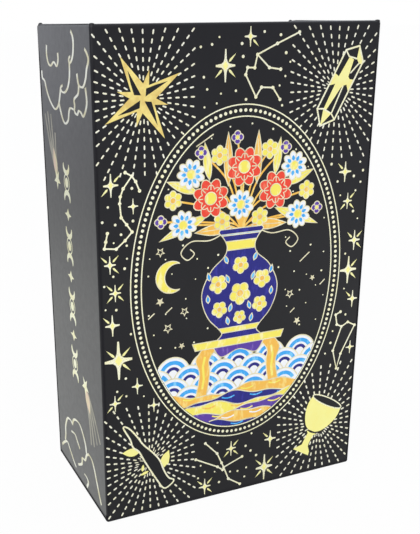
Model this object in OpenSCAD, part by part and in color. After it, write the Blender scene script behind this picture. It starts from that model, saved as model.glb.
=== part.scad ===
// Boxed tarot deck: a rigid lid-and-base paperboard box standing on its short end,
// with 78 cards and a saddle-stitched guidebook packed flat inside it.
// X runs across the box, Y from the front panel (-) to the back (+), Z up.
// The origin is under the middle of the box, on the plane that it stands on.

/* [Cards] */
// Width of one card
card_w = 70; // [56:1:90]
// Height of one card
card_h = 120; // [88:1:146]
// Thickness of one card
card_t = 0.41; // [0.28:0.01:0.6]
// Radius of a card's corners
card_corner_r = 4; // [1:0.5:9]
// Air between neighbouring cards in the stack
card_gap = 0.01; // [0.01:0.01:0.05]
// Room between the cards' edges and the tray's walls
card_clear = 0.7; // [0.5:0.1:2]

/* [Guidebook] */
// How much narrower the booklet is than a card
book_trim_w = 2; // [1:0.5:8]
// How much shorter the booklet is than a card
book_trim_h = 3; // [1:0.5:10]
// Number of folded sheets
sheet_count = 14; // [4:1:20]
// Thickness of a folded sheet
sheet_t = 0.13; // [0.08:0.01:0.2]
// Air between nested sheets
sheet_gap = 0.01; // [0.01:0.01:0.03]
// Thickness of the cover paper
cover_t = 0.25; // [0.15:0.01:0.4]

/* [Staples] */
// Wire diameter of a staple
staple_wire_d = 0.4; // [0.3:0.05:0.6]
// Length of a staple's crown along the spine
staple_crown_l = 12; // [9:0.5:16]
// Length of each clenched leg end
staple_tip_l = 4; // [2:0.5:4.5]
// Bend radius at the staple's corners, to the middle of the wire
staple_bend_r = 0.4; // [0.35:0.05:0.5]
// Distance from an end of the spine to the nearer leg of a staple
staple_end_inset = 22; // [10:1:30]
// Room round a staple leg in its hole, on the diameter
staple_hole_clear = 0.03; // [0.01:0.01:0.08]
// Room between the clenched wire and the innermost fold
fold_room = 0.15; // [0.1:0.05:0.3]

/* [Box] */
// Thickness of the greyboard
board_t = 1.6; // [1:0.1:2.5]
// Thickness of the wrapping and lining paper
paper_t = 0.2; // [0.18:0.02:0.4]
// Outer radius of the wrapped edges
edge_r = 0.8; // [0.6:0.05:1.2]
// How far the wrapping paper turns in over the rim
turn_in_l = 15; // [6:1:25]
// Room between the base and the lid, on each side
fit_gap = 0.3; // [0.2:0.05:0.8]
// Room between the base's rim and the inside of the lid
lid_seat_gap = 0.05; // [0.05:0.05:0.5]
// Depth of the front card below the base's rim
headroom = 1.25; // [0.5:0.25:4]
// Air under and behind what rests in the tray
stand_gap = 0.05; // [0.02:0.01:0.2]

/* [Corners] */
// Thickness of the paper stays that hold the board's corners
stay_t = 0.07; // [0.04:0.01:0.1]
// Length of each leg of a stay
stay_leg_l = 9; // [4:1:14]
// Distance from the rim and the floor to the ends of a stay
stay_end_inset = 2; // [1:0.5:5]
// Width of the cut where two board walls meet
slit_w = 0.1; // [0.05:0.05:0.3]
// Distance from a corner edge to the lapped paper of a short wall
lap_inset = 1.2; // [1:0.1:2.5]
// Step at the edge of the lapped paper
lap_step = 0.06; // [0.02:0.01:0.08]
// Radius of the gathered paper at the upper corners of the lid
ear_r = 0.7; // [0.6:0.05:0.9]
// Height of that gathered paper above the upper wall
ear_h = 0.45; // [0.2:0.05:0.55]
// Distance of that gathered paper from the faces next to it
ear_inset = 0.1; // [0.05:0.05:0.3]

/* [Hidden] */
// Counts that the game itself fixes
major_count = 22;
suit_names = ["wands", "cups", "swords", "pentacles"];
numbered_count = 10;
court_count = 4;
suit_count = numbered_count + court_count;
card_count = major_count + len(suit_names) * suit_count;

// Fineness of curves: whole circles, and the rounded edges of the board and paper
$fn = 64;
edge_fn = 32;
edge_steps = edge_fn / 4;

// One overrun for every cut
cut_over = 1;

// The booklet's fold, from its core outwards
fold_core_r = staple_wire_d / 2 + fold_room;
sheet_pitch = sheet_t + sheet_gap;
cover_in_r = fold_core_r + sheet_count * sheet_pitch;
cover_out_r = cover_in_r + cover_t;
book_t = 2 * cover_out_r;
book_w = card_w - book_trim_w;
book_h = card_h - book_trim_h;
fold_leg_l = book_w - cover_out_r;

// The stack of cards
card_pitch = card_t + card_gap;
deck_t = card_count * card_pitch - card_gap;
stack_d = headroom + deck_t + card_gap + book_t + stand_gap;

// The two trays, built outwards from the cards
wall_t = paper_t + board_t + paper_t;
base_in_w = card_w + 2 * card_clear;
base_in_h = card_h + 2 * card_clear;
base_w = base_in_w + 2 * wall_t;
base_h = base_in_h + 2 * wall_t;
base_d = stack_d + wall_t;
lid_w = base_w + 2 * (fit_gap + wall_t);
lid_h = base_h + 2 * (fit_gap + wall_t);
lid_d = base_d + lid_seat_gap + wall_t;

// Places of the pieces
front_y = -lid_d / 2;
back_y = lid_d / 2;
mid_z = lid_h / 2;
base_rim_y = back_y - base_d;
deck_front_y = base_rim_y + headroom;
book_mid_y = deck_front_y + deck_t + card_gap + book_t / 2;
stand_z = mid_z - base_in_h / 2 + stand_gap;
fold_x = -book_w / 2 + cover_out_r;

// Paper and board colours
black_paper = "#2d2c30";
grey_board = "#8d8980";
stay_paper = "#c9b48d";
lining_paper = "#1c1b1f";
card_stock = "#f1ede2";
cover_paper = "#343a63";
page_paper = "#f6f2e6";
staple_wire = "#b9bcc2";

function two_digits(i) = str(i < 10 ? "0" : "", i);
function major_name(i) = str("major_card_", two_digits(i));
function numbered_name(s) = str(suit_names[s], "_numbered_cards");
function court_name(s) = str(suit_names[s], "_court_cards");
function card_front_y(k) = deck_front_y + k * card_pitch;
function suit_first(s) = major_count + s * suit_count;

majors = [0 : major_count - 1];
suits = [0 : len(suit_names) - 1];

// A plain block on its floor at Y = 0, centred in X and Z
module plain_block(w, h, d) {
    translate([-w / 2, 0, -h / 2]) cube([w, d, h]);
}

// One rounded corner: its tip at Y = 0, its full radius from Y = r to the depth d
module soft_corner(r, d) {
    quarter = [for (k = [0 : edge_steps]) let (a = 90 * k / edge_steps) r * [sin(a), 1 - cos(a)]];
    rotate([-90, 0, 0])
        rotate_extrude($fn = edge_fn) polygon(concat(quarter, [[r, d], [0, d]]));
}

// A block with a rounded floor edge and rounded corners, cut square at its rim
module soft_block(w, h, d, r) {
    hull()
        for (sx = [-1, 1], sz = [-1, 1])
            translate([sx * (w / 2 - r), 0, sz * (h / 2 - r)]) soft_corner(r, d);
}

// The outside of a tray's board, grown by a layer on it, for a wrapped tray of size w, h, d
module board_block(w, h, d, layer = 0) {
    cover = paper_t - layer;
    translate([0, cover, 0])
        soft_block(w - 2 * cover, h - 2 * cover, d - cover - paper_t, edge_r - cover);
}

// The board before its corners are slit
module board_blank(w, h, d) {
    skin = paper_t + board_t;
    difference() {
        board_block(w, h, d);
        translate([0, skin, 0]) plain_block(w - 2 * skin, h - 2 * skin, d);
    }
}

// The board: one folded blank, whose short walls butt between the long ones
module tray_board(w, h, d) {
    skin = paper_t + board_t;
    difference() {
        board_blank(w, h, d);
        for (sx = [-1, 1], sz = [-1, 1])
            translate([sx * (w / 2 - skin - slit_w / 2), skin, sz * (h / 2 - skin / 2)])
                plain_block(slit_w, skin + cut_over, d);
    }
}

// Paper stays, bent round the slit corners of the board
module tray_stays(w, h, d) {
    stay_d = d - 2 * stay_end_inset - edge_r;
    intersection() {
        difference() {
            board_block(w, h, d, stay_t);
            board_block(w, h, d);
        }
        for (sx = [-1, 1], sz = [-1, 1])
            translate([sx * w / 2, edge_r + stay_end_inset, sz * h / 2])
                plain_block(2 * stay_leg_l, 2 * stay_leg_l, stay_d);
    }
}

// The lining paper, up to the edge of the turned-in wrap
module tray_liner(w, h, d) {
    skin = paper_t + board_t;
    translate([0, skin, 0])
        difference() {
            plain_block(w - 2 * skin, h - 2 * skin, d - skin - turn_in_l);
            translate([0, paper_t, 0]) plain_block(w - 2 * wall_t, h - 2 * wall_t, d);
        }
}

// The wrapping paper: over the board and its stays, round the rim and into the tray.
// On the short walls it laps over the tabs of the long walls, a little short of the corners.
module tray_wrap(w, h, d, has_ears = false) {
    skin = paper_t + board_t;
    difference() {
        union() {
            soft_block(w, h, d, edge_r);
            if (has_ears) gathered_ears(w, h, d);
        }
        for (sx = [-1, 1], sz = [-1, 1])
            translate([sx * w / 2, 0, sz * (h / 2 + ear_r - lap_step)])
                lap_cut(d, sz > 0 && has_ears ? 2 * (ear_inset + ear_r) : -cut_over);
        board_blank(w, h, d);
        tray_stays(w, h, d);
        translate([0, skin, 0]) plain_block(w - 2 * skin, h - 2 * skin, d - skin - turn_in_l);
        translate([0, skin, 0]) plain_block(w - 2 * wall_t, h - 2 * wall_t, d);
    }
}

// The strip beside a corner where only the tab's paper lies, short of both ends by a margin
module lap_cut(d, margin) {
    translate([0, margin, 0]) plain_block(2 * lap_inset, 2 * ear_r, d - 2 * margin);
}

// Paper gathered into small ears at the upper corners
module gathered_ears(w, h, d) {
    reach = ear_inset + ear_r;
    for (sx = [-1, 1], y = [reach, d - reach])
        translate([sx * (w / 2 - reach), y, h / 2 + ear_h - ear_r]) sphere(r = ear_r);
}

// Places of the two trays
module lid_place() {
    translate([0, front_y, mid_z]) children();
}

module base_place() {
    translate([0, back_y, mid_z]) mirror([0, 1, 0]) children();
}

module lid_wrap() {
    color(black_paper) lid_place() tray_wrap(lid_w, lid_h, lid_d, true);
}

module lid_board() {
    color(grey_board) lid_place() tray_board(lid_w, lid_h, lid_d);
}

module lid_corner_stays() {
    color(stay_paper) lid_place() tray_stays(lid_w, lid_h, lid_d);
}

module lid_liner() {
    color(lining_paper) lid_place() tray_liner(lid_w, lid_h, lid_d);
}

module base_wrap() {
    color(black_paper) base_place() tray_wrap(base_w, base_h, base_d);
}

module base_board() {
    color(grey_board) base_place() tray_board(base_w, base_h, base_d);
}

module base_corner_stays() {
    color(stay_paper) base_place() tray_stays(base_w, base_h, base_d);
}

module base_liner() {
    color(lining_paper) base_place() tray_liner(base_w, base_h, base_d);
}

// A sheet folded in half, as the nested sheets and the cover are, with its fold's inside radius
module folded_sheet(in_r, t) {
    out_r = in_r + t;
    difference() {
        union() {
            circle(r = out_r);
            translate([0, -out_r]) square([fold_leg_l, 2 * out_r]);
        }
        circle(r = in_r);
        translate([0, -in_r]) square([fold_leg_l + cut_over, 2 * in_r]);
    }
}

// Heights of the staples' legs above the foot of the spine
function staple_legs() = [
    for (foot = [staple_end_inset, book_h - staple_end_inset - staple_crown_l])
        [foot, foot + staple_crown_l]
];

// Holes for the staples' legs through the fold
module staple_holes() {
    for (pair = staple_legs(), z = pair)
        translate([-cover_out_r - cut_over, 0, z])
            rotate([0, 90, 0])
                cylinder(d = staple_wire_d + staple_hole_clear, h = cover_out_r + cut_over);
}

// The booklet's place: its fold at the left, its foot on the tray's lower wall
module book_place() {
    translate([fold_x, book_mid_y, stand_z]) children();
}

module stitched_sheet(in_r, t) {
    difference() {
        linear_extrude(book_h) folded_sheet(in_r, t);
        staple_holes();
    }
}

module guidebook_cover() {
    color(cover_paper) book_place() stitched_sheet(cover_in_r, cover_t);
}

module guidebook_sheets() {
    color(page_paper)
        book_place()
            for (i = [0 : sheet_count - 1]) stitched_sheet(fold_core_r + i * sheet_pitch, sheet_t);
}

module wire_run(length) {
    cylinder(d = staple_wire_d, h = length);
}

// A quarter bend from +Z towards +X
module wire_bend() {
    translate([staple_bend_r, 0, 0])
        rotate([90, 0, 0])
            rotate_extrude(angle = -90)
                translate([-staple_bend_r, 0]) circle(d = staple_wire_d);
}

// Half a staple from the middle of its crown: up the crown, in through the fold, back along its core
module half_staple() {
    crown_x = -cover_out_r - staple_wire_d / 2;
    half_l = staple_crown_l / 2;
    translate([crown_x, 0, 0]) wire_run(half_l - staple_bend_r);
    translate([crown_x, 0, half_l - staple_bend_r]) wire_bend();
    translate([crown_x + staple_bend_r, 0, half_l])
        rotate([0, 90, 0]) wire_run(-crown_x - 2 * staple_bend_r);
    translate([0, 0, half_l - staple_bend_r]) mirror([1, 0, 0]) wire_bend();
    translate([0, 0, half_l - staple_tip_l]) wire_run(staple_tip_l - staple_bend_r);
}

module guidebook_staples() {
    color(staple_wire)
        book_place()
            for (pair = staple_legs())
                translate([0, 0, (pair[0] + pair[1]) / 2])
                    union() {
                        half_staple();
                        mirror([0, 0, 1]) half_staple();
                    }
}

// A card's outline with rounded corners, standing on the X axis
module card_outline() {
    straight_w = card_w - 2 * card_corner_r;
    straight_h = card_h - 2 * card_corner_r;
    translate([-straight_w / 2, 0]) square([straight_w, card_h]);
    translate([-card_w / 2, card_corner_r]) square([card_w, straight_h]);
    for (sx = [-1, 1], z = [card_corner_r, card_h - card_corner_r])
        translate([sx * straight_w / 2, z]) circle(r = card_corner_r);
}

// The card at place k in the stack, counted from the front
module stacked_card(k) {
    translate([0, card_front_y(k) + card_t, stand_z])
        rotate([90, 0, 0]) linear_extrude(card_t) card_outline();
}

module card_run(first, count) {
    color(card_stock)
        for (k = [first : first + count - 1]) stacked_card(k);
}

lid_wrap();
lid_board();
lid_corner_stays();
lid_liner();
base_wrap();
base_board();
base_corner_stays();
base_liner();
guidebook_cover();
guidebook_sheets();
guidebook_staples();
for (i = majors) card_run(i, 1);
for (s = suits) card_run(suit_first(s), numbered_count);
for (s = suits) card_run(suit_first(s) + numbered_count, court_count);
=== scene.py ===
"""Looks of the boxed card deck: laminated paper, foil, printed colours, cards, booklet and studio."""

import cmath
import logging
import math
from abc import ABC, abstractmethod
from dataclasses import dataclass, field
from enum import Enum
from functools import reduce
from typing import Iterable, Sequence

import bmesh
import bpy
from mathutils import Matrix, Vector


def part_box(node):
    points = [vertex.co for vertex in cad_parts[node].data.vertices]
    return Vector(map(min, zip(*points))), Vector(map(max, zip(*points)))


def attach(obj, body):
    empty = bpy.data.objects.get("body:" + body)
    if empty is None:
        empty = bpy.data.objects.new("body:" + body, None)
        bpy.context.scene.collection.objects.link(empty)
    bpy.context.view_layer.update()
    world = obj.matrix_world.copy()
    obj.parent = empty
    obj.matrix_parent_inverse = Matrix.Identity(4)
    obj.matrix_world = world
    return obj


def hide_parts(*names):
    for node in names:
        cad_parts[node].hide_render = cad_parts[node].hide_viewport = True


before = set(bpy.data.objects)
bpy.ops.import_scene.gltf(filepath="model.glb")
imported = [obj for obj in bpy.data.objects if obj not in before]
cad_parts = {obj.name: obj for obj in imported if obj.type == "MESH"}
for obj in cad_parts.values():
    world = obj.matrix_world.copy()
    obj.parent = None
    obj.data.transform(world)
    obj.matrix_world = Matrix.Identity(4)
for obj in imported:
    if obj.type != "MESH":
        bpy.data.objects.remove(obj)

MM = 0.001
LOG = logging.getLogger("boxed_deck")
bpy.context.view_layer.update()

# A point on a face of the box is a complex number in millimetres: across to the right, plus up times 1j
Path = list[complex]
Span = tuple[float, float]
Triple = tuple[float, float, float]
Colour = Triple
Feeds = dict[str | int, object]
Socket = bpy.types.NodeSocket
Node = bpy.types.Node
Mesh = bpy.types.Mesh
Object = bpy.types.Object
Shell = bmesh.types.BMesh

# Where noise, which keeps to the middle of 0 to 1, passes from its low to its high spots
NOISE_SPAN: Span = (0.3, 0.7)
CLOUD_SPAN: Span = (0.35, 0.7)
# A face of less area, in square millimetres, is left out
LEAST_AREA = 1e-7


class Wiring:
    """Adds nodes to one tree and joins their sockets."""

    def __init__(self, tree: bpy.types.NodeTree) -> None:
        """Takes the shader or geometry tree that is written to."""
        self.tree = tree

    def feed(self, node: Node, feeds: Feeds) -> None:
        """Links outputs to a node's inputs, or sets constants on them.

        Args:
            node: the node that is fed.
            feeds: sockets or constants by the name or number of the input.
        """
        for key, value in feeds.items():
            if isinstance(value, Socket):
                self.tree.links.new(value, node.inputs[key])
            else:
                node.inputs[key].default_value = value

    def node(self, kind: str, feeds: Feeds | None = None, **settings: object) -> Node:
        """Adds one node.

        Args:
            kind: Blender's name of the node's type.
            feeds: sockets or constants by the name or number of the input.
            settings: properties of the node.

        Returns:
            The new node.
        """
        made = self.tree.nodes.new(kind)
        for key, value in settings.items():
            setattr(made, key, value)
        self.feed(made, feeds or {})
        return made

    def out(self, kind: str, feeds: Feeds | None = None, **settings: object) -> Socket:
        """Adds one node and returns its first output."""
        return self.node(kind, feeds, **settings).outputs[0]

    def maths(self, operation: str, *values: object) -> Socket:
        """Adds a Math node and returns its result."""
        return self.out("ShaderNodeMath", dict(enumerate(values)), operation=operation)

    def plus(self, first: object, second: object) -> Socket:
        """The sum of two numbers."""
        return self.maths("ADD", first, second)

    def minus(self, first: object, second: object) -> Socket:
        """The first number less the second."""
        return self.maths("SUBTRACT", first, second)

    def over(self, first: object, second: object) -> Socket:
        """The first number divided by the second."""
        return self.maths("DIVIDE", first, second)

    def times(self, *values: object) -> Socket:
        """The product of numbers, or the overlap of masks."""
        return reduce(lambda first, second: self.maths("MULTIPLY", first, second), values)

    def most(self, *values: object) -> Socket:
        """The largest of numbers, or the union of masks."""
        return reduce(lambda first, second: self.maths("MAXIMUM", first, second), values)

    def least(self, first: object, second: object) -> Socket:
        """The smaller of two numbers."""
        return self.maths("MINIMUM", first, second)

    def vector(self, operation: str, *values: object) -> Socket:
        """Adds a Vector Math node and returns its vector."""
        return self.out("ShaderNodeVectorMath", dict(enumerate(values)), operation=operation)

    def length(self, vector: Socket) -> Socket:
        """The length of a vector."""
        return self.node("ShaderNodeVectorMath", {0: vector}, operation="LENGTH").outputs["Value"]

    def combine(self, x: object = 0.0, y: object = 0.0, z: object = 0.0) -> Socket:
        """Joins three numbers to a vector."""
        return self.out("ShaderNodeCombineXYZ", {0: x, 1: y, 2: z})

    def split(self, vector: Socket) -> tuple[Socket, Socket, Socket]:
        """Takes a vector apart."""
        return tuple(self.node("ShaderNodeSeparateXYZ", {0: vector}).outputs[:3])

    def coordinates(self, stretch: Triple = (1, 1, 1)) -> Socket:
        """Object coordinates in millimetres, stretched along the axes."""
        place = self.node("ShaderNodeTexCoord").outputs["Object"]
        return self.vector("MULTIPLY", place, tuple(share / MM for share in stretch))

    def noise(self, place: Socket, per_mm: float, detail: float = 3.0, rough: float = 0.55) -> Socket:
        """Noise from 0 to 1 with so many waves to a millimetre."""
        feeds = {"Vector": place, "Scale": per_mm, "Detail": detail, "Roughness": rough}
        return self.out("ShaderNodeTexNoise", feeds)

    def rise(self, value: object, low: float, high: float, start: float = 0.0, end: float = 1.0) -> Socket:
        """Goes smoothly from start to end while value goes from low to high."""
        feeds = {"Value": value, "From Min": low, "From Max": high, "To Min": start, "To Max": end}
        return self.out("ShaderNodeMapRange", feeds, interpolation_type="SMOOTHSTEP")

    def fall(self, value: object, low: float, high: float) -> Socket:
        """Goes smoothly from 1 to 0 while value goes from low to high."""
        return self.rise(value, low, high, 1.0, 0.0)

    def tint(self, share: object, first: object, second: object) -> Socket:
        """Mixes two colours."""
        first, second = (c if isinstance(c, Socket) else (*c, 1.0) for c in (first, second))
        return self.node("ShaderNodeMix", {0: share, 6: first, 7: second}, data_type="RGBA").outputs[2]

    def blend(self, share: object, first: object, second: object) -> Socket:
        """Mixes two numbers."""
        return self.out("ShaderNodeMix", {0: share, 2: first, 3: second}, data_type="FLOAT")

    def bump(self, height: Socket, depth_mm: float) -> Socket:
        """The normal of a surface with a bump of that depth."""
        return self.out("ShaderNodeBump", {"Height": height, "Distance": depth_mm * MM, "Strength": 1.0})


def shaded(colour: Colour, share: float) -> Colour:
    """A colour made darker, or brighter where share is over 1."""
    return tuple(share * part for part in colour)


class Finish(ABC):
    """A surface that writes itself into one material, once."""

    name: str

    def material(self) -> bpy.types.Material:
        """Makes the finish's material at its first use.

        Returns:
            The material, the same each time.
        """
        found = bpy.data.materials.get(self.name)
        if found:
            return found
        made = bpy.data.materials.new(self.name)
        made.use_nodes = True
        made.node_tree.nodes.clear()
        wire = Wiring(made.node_tree)
        shader = wire.node("ShaderNodeBsdfPrincipled")
        wire.feed(shader, self.looks(wire))
        wire.node("ShaderNodeOutputMaterial", {"Surface": self.surface(wire, shader.outputs[0])})
        return made

    def dress(self, piece: Object) -> None:
        """Puts the material on the whole of a piece."""
        piece.data.materials.clear()
        piece.data.materials.append(self.material())

    @abstractmethod
    def looks(self, wire: Wiring) -> Feeds:
        """Writes the finish's nodes into a tree and returns what feeds its Principled shader."""

    def surface(self, wire: Wiring, shader: Socket) -> Socket:
        """What the material shows: the shader as it is."""
        return shader


@dataclass(frozen=True)
class LaminatedPaper(Finish):
    """Black wrapping paper under a matte film, duller along the folded edges of what it covers."""

    name: str
    node: str
    ink: Colour = (0.0015, 0.0012, 0.0036)
    cloudy: Colour = (0.0025, 0.0022, 0.005)
    cloud_scale: float = 0.09
    film_scale: float = 0.5
    film_span: Span = (0.3, 0.75)
    film_roughness: Span = (0.36, 0.44)
    paper_ior: float = 1.36
    coat_ior: float = 1.2
    coat_roughness: float = 0.4
    crease_roughness: float = 1.0
    crease_reach: Span = (0.4, 1.2)
    crease_top: Span = (120.0, 126.0)
    front_beyond: float = 0.05
    foot_share: float = 0.6
    front_foot_share: float = 0.45
    front_foot_reach: Span = (1.0, 4.0)
    left_share: float = 0.55
    left_reach: Span = (-30.0, 30.0)
    warp_scale: float = 0.035
    warp_height: float = 9.0
    grain_scale: float = 5.5
    grain_height: float = 0.3
    bump_depth: float = 0.012

    def crease(self, wire: Wiring, place: Socket) -> Socket:
        """Tells how creased a point is, from its second smallest distance to the sides of the node's box.

        Args:
            wire: the material's tree.
            place: object coordinates in millimetres.

        Returns:
            1 on a crease that is rubbed dull and 0 away from it.
        """
        low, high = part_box(self.node)
        away, parts = [], wire.split(place)
        for axis, value in enumerate(parts):
            middle, half = (low[axis] + high[axis]) / 2 / MM, (high[axis] - low[axis]) / 2 / MM
            away.append(wire.minus(half, wire.maths("ABSOLUTE", wire.minus(value, middle))))
        low_rim = wire.times(away[2], self.foot_share)
        second = wire.most(wire.least(*away[:2]), wire.least(wire.most(*away[:2]), low_rim))
        near = wire.fall(second, *self.crease_reach)
        below = wire.fall(parts[2], *self.crease_top)
        front = wire.maths("LESS_THAN", away[1], -self.front_beyond)
        foot = wire.maths("LESS_THAN", low_rim, self.crease_reach[1])
        foot = wire.times(foot, wire.rise(front, 0.0, 1.0, 1.0, self.front_foot_share))
        front = wire.times(front, wire.rise(parts[0], *self.left_reach, self.left_share, 1.0))
        front = wire.times(front, wire.rise(parts[2], *self.front_foot_reach, self.front_foot_share, 1.0))
        rear = wire.maths("GREATER_THAN", parts[1], 0.0)
        return wire.times(near, below, wire.most(front, foot, rear))

    def looks(self, wire: Wiring) -> Feeds:
        """Writes mottled black, a fine grain, a faint warp of the board and dull creases.

        Args:
            wire: the material's tree.

        Returns:
            What feeds the shader.
        """
        place = wire.coordinates()
        crease = self.crease(wire, place)
        cloud = wire.rise(wire.noise(place, self.cloud_scale, 5.0), *CLOUD_SPAN)
        film = wire.noise(place, self.film_scale, 6.0, 0.65)
        film = wire.rise(film, *self.film_span, *self.film_roughness)
        warp = wire.times(wire.noise(place, self.warp_scale, 1.0), self.warp_height)
        grain = wire.times(wire.noise(place, self.grain_scale, 3.0, 0.6), self.grain_height)
        return {
            "Base Color": wire.tint(cloud, self.ink, self.cloudy),
            "Roughness": wire.blend(crease, film, self.crease_roughness),
            "IOR": self.paper_ior,
            "Coat Weight": wire.fall(crease, 0.0, 1.0),
            "Coat IOR": self.coat_ior,
            "Coat Roughness": self.coat_roughness,
            "Normal": wire.bump(wire.plus(warp, grain), self.bump_depth),
        }


@dataclass(frozen=True)
class FoilStamp(Finish):
    """Hot-stamped foil that shows a little of the paper's grain."""

    name: str
    bright: Colour
    shade: Colour
    roughness: float = 0.24
    metal: float = 0.5
    cloud_scale: float = 0.28
    cloud_span: Span = (0.36, 0.68)
    grain_scale: float = 4.0
    grain_span: Span = (0.25, 0.8)
    grain_roughness: float = 0.16
    bump_depth: float = 0.008

    def looks(self, wire: Wiring) -> Feeds:
        """Writes cloudy gold with a fine grain, part metal and part pigment.

        Args:
            wire: the material's tree.

        Returns:
            What feeds the shader.
        """
        place = wire.coordinates()
        cloud = wire.rise(wire.noise(place, self.cloud_scale, 4.0), *self.cloud_span)
        grain = wire.noise(place, self.grain_scale)
        rough = self.roughness, self.roughness + self.grain_roughness
        return {
            "Base Color": wire.tint(cloud, self.bright, self.shade),
            "Metallic": self.metal,
            "Roughness": wire.rise(grain, *self.grain_span, *rough),
            "Normal": wire.bump(grain, self.bump_depth),
        }


@dataclass(frozen=True)
class ScreenInk(Finish):
    """Opaque printed colour, laid on a little unevenly, with streaks of a second colour."""

    name: str
    main: Colour
    streak: Colour
    share: float = 0.5
    streak_stretch: Triple = (1.0, 1.0, 0.35)
    streak_scale: float = 0.75
    # Noise above which streaks start where they have no share, and how much lower a full share starts
    streak_start: Span = (0.62, 0.24)
    streak_edge: float = 0.14
    skin_scale: float = 3.5
    skin_roughness: Span = (0.38, 0.52)
    ior: float = 1.42
    bump_depth: float = 0.01

    def looks(self, wire: Wiring) -> Feeds:
        """Writes streaky ink with a satin skin.

        Args:
            wire: the material's tree.

        Returns:
            What feeds the shader.
        """
        lay = wire.noise(wire.coordinates(self.streak_stretch), self.streak_scale, 4.0, 0.6)
        edge = self.streak_start[0] - self.streak_start[1] * self.share
        skin = wire.noise(wire.coordinates(), self.skin_scale)
        return {
            "Base Color": wire.tint(wire.rise(lay, edge, edge + self.streak_edge), self.main, self.streak),
            "Roughness": wire.rise(skin, *NOISE_SPAN, *self.skin_roughness),
            "IOR": self.ior,
            "Normal": wire.bump(skin, self.bump_depth),
        }


@dataclass(frozen=True)
class PulpPaper(Finish):
    """Uncoated sheet with long fibres and flecks."""

    name: str
    sheet: Colour
    fibre: Colour
    fleck: Colour
    fleck_share: float = 0.3
    roughness: float = 0.82
    depth: float = 0.03
    fibre_stretch: Triple = (1.0, 1.0, 0.22)
    fibre_scale: float = 3.2
    fibre_gloss: float = 0.08
    fleck_scale: float = 2.1
    # Noise above which flecks start where they have no share, and how much lower a full share starts
    fleck_start: Span = (0.74, 0.2)
    fleck_top: float = 0.78
    fleck_strength: float = 0.7

    def looks(self, wire: Wiring) -> Feeds:
        """Writes fibres that run up the sheet, flecks and a felt-like bump.

        Args:
            wire: the material's tree.

        Returns:
            What feeds the shader.
        """
        place = wire.coordinates()
        fibres = wire.noise(wire.coordinates(self.fibre_stretch), self.fibre_scale, 5.0, 0.62)
        body = wire.tint(wire.rise(fibres, *CLOUD_SPAN), self.sheet, self.fibre)
        low = self.fleck_start[0] - self.fleck_start[1] * self.fleck_share
        specks = wire.rise(wire.noise(place, self.fleck_scale, 2.0), low, self.fleck_top)
        rough = self.roughness - self.fibre_gloss, self.roughness
        return {
            "Base Color": wire.tint(wire.times(specks, self.fleck_strength), body, self.fleck),
            "Roughness": wire.rise(fibres, *NOISE_SPAN, *rough),
            "Normal": wire.bump(fibres, self.depth),
        }


@dataclass(frozen=True)
class BrightWire(Finish):
    """Drawn steel wire with fine scratches along it."""

    name: str = "staple_wire_steel"
    steel: Colour = (0.56, 0.57, 0.59)
    dull: Colour = (0.36, 0.36, 0.38)
    scratch_stretch: Triple = (6.0, 6.0, 0.6)
    scratch_scale: float = 2.0
    roughness: Span = (0.22, 0.42)
    bump_depth: float = 0.006

    def looks(self, wire: Wiring) -> Feeds:
        """Writes scratched metal.

        Args:
            wire: the material's tree.

        Returns:
            What feeds the shader.
        """
        scratches = wire.noise(wire.coordinates(self.scratch_stretch), self.scratch_scale, 4.0)
        return {
            "Base Color": wire.tint(scratches, self.steel, self.dull),
            "Metallic": 1.0,
            "Roughness": wire.rise(scratches, *NOISE_SPAN, *self.roughness),
            "Normal": wire.bump(scratches, self.bump_depth),
        }


class Motif(Enum):
    """What is printed in gold on one side of a sheet."""

    LATTICE = "lattice"
    SUN = "sun"
    ROD = "rod"
    GOBLET = "goblet"
    BLADE = "blade"
    COIN = "coin"
    PLAIN = "plain"


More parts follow.
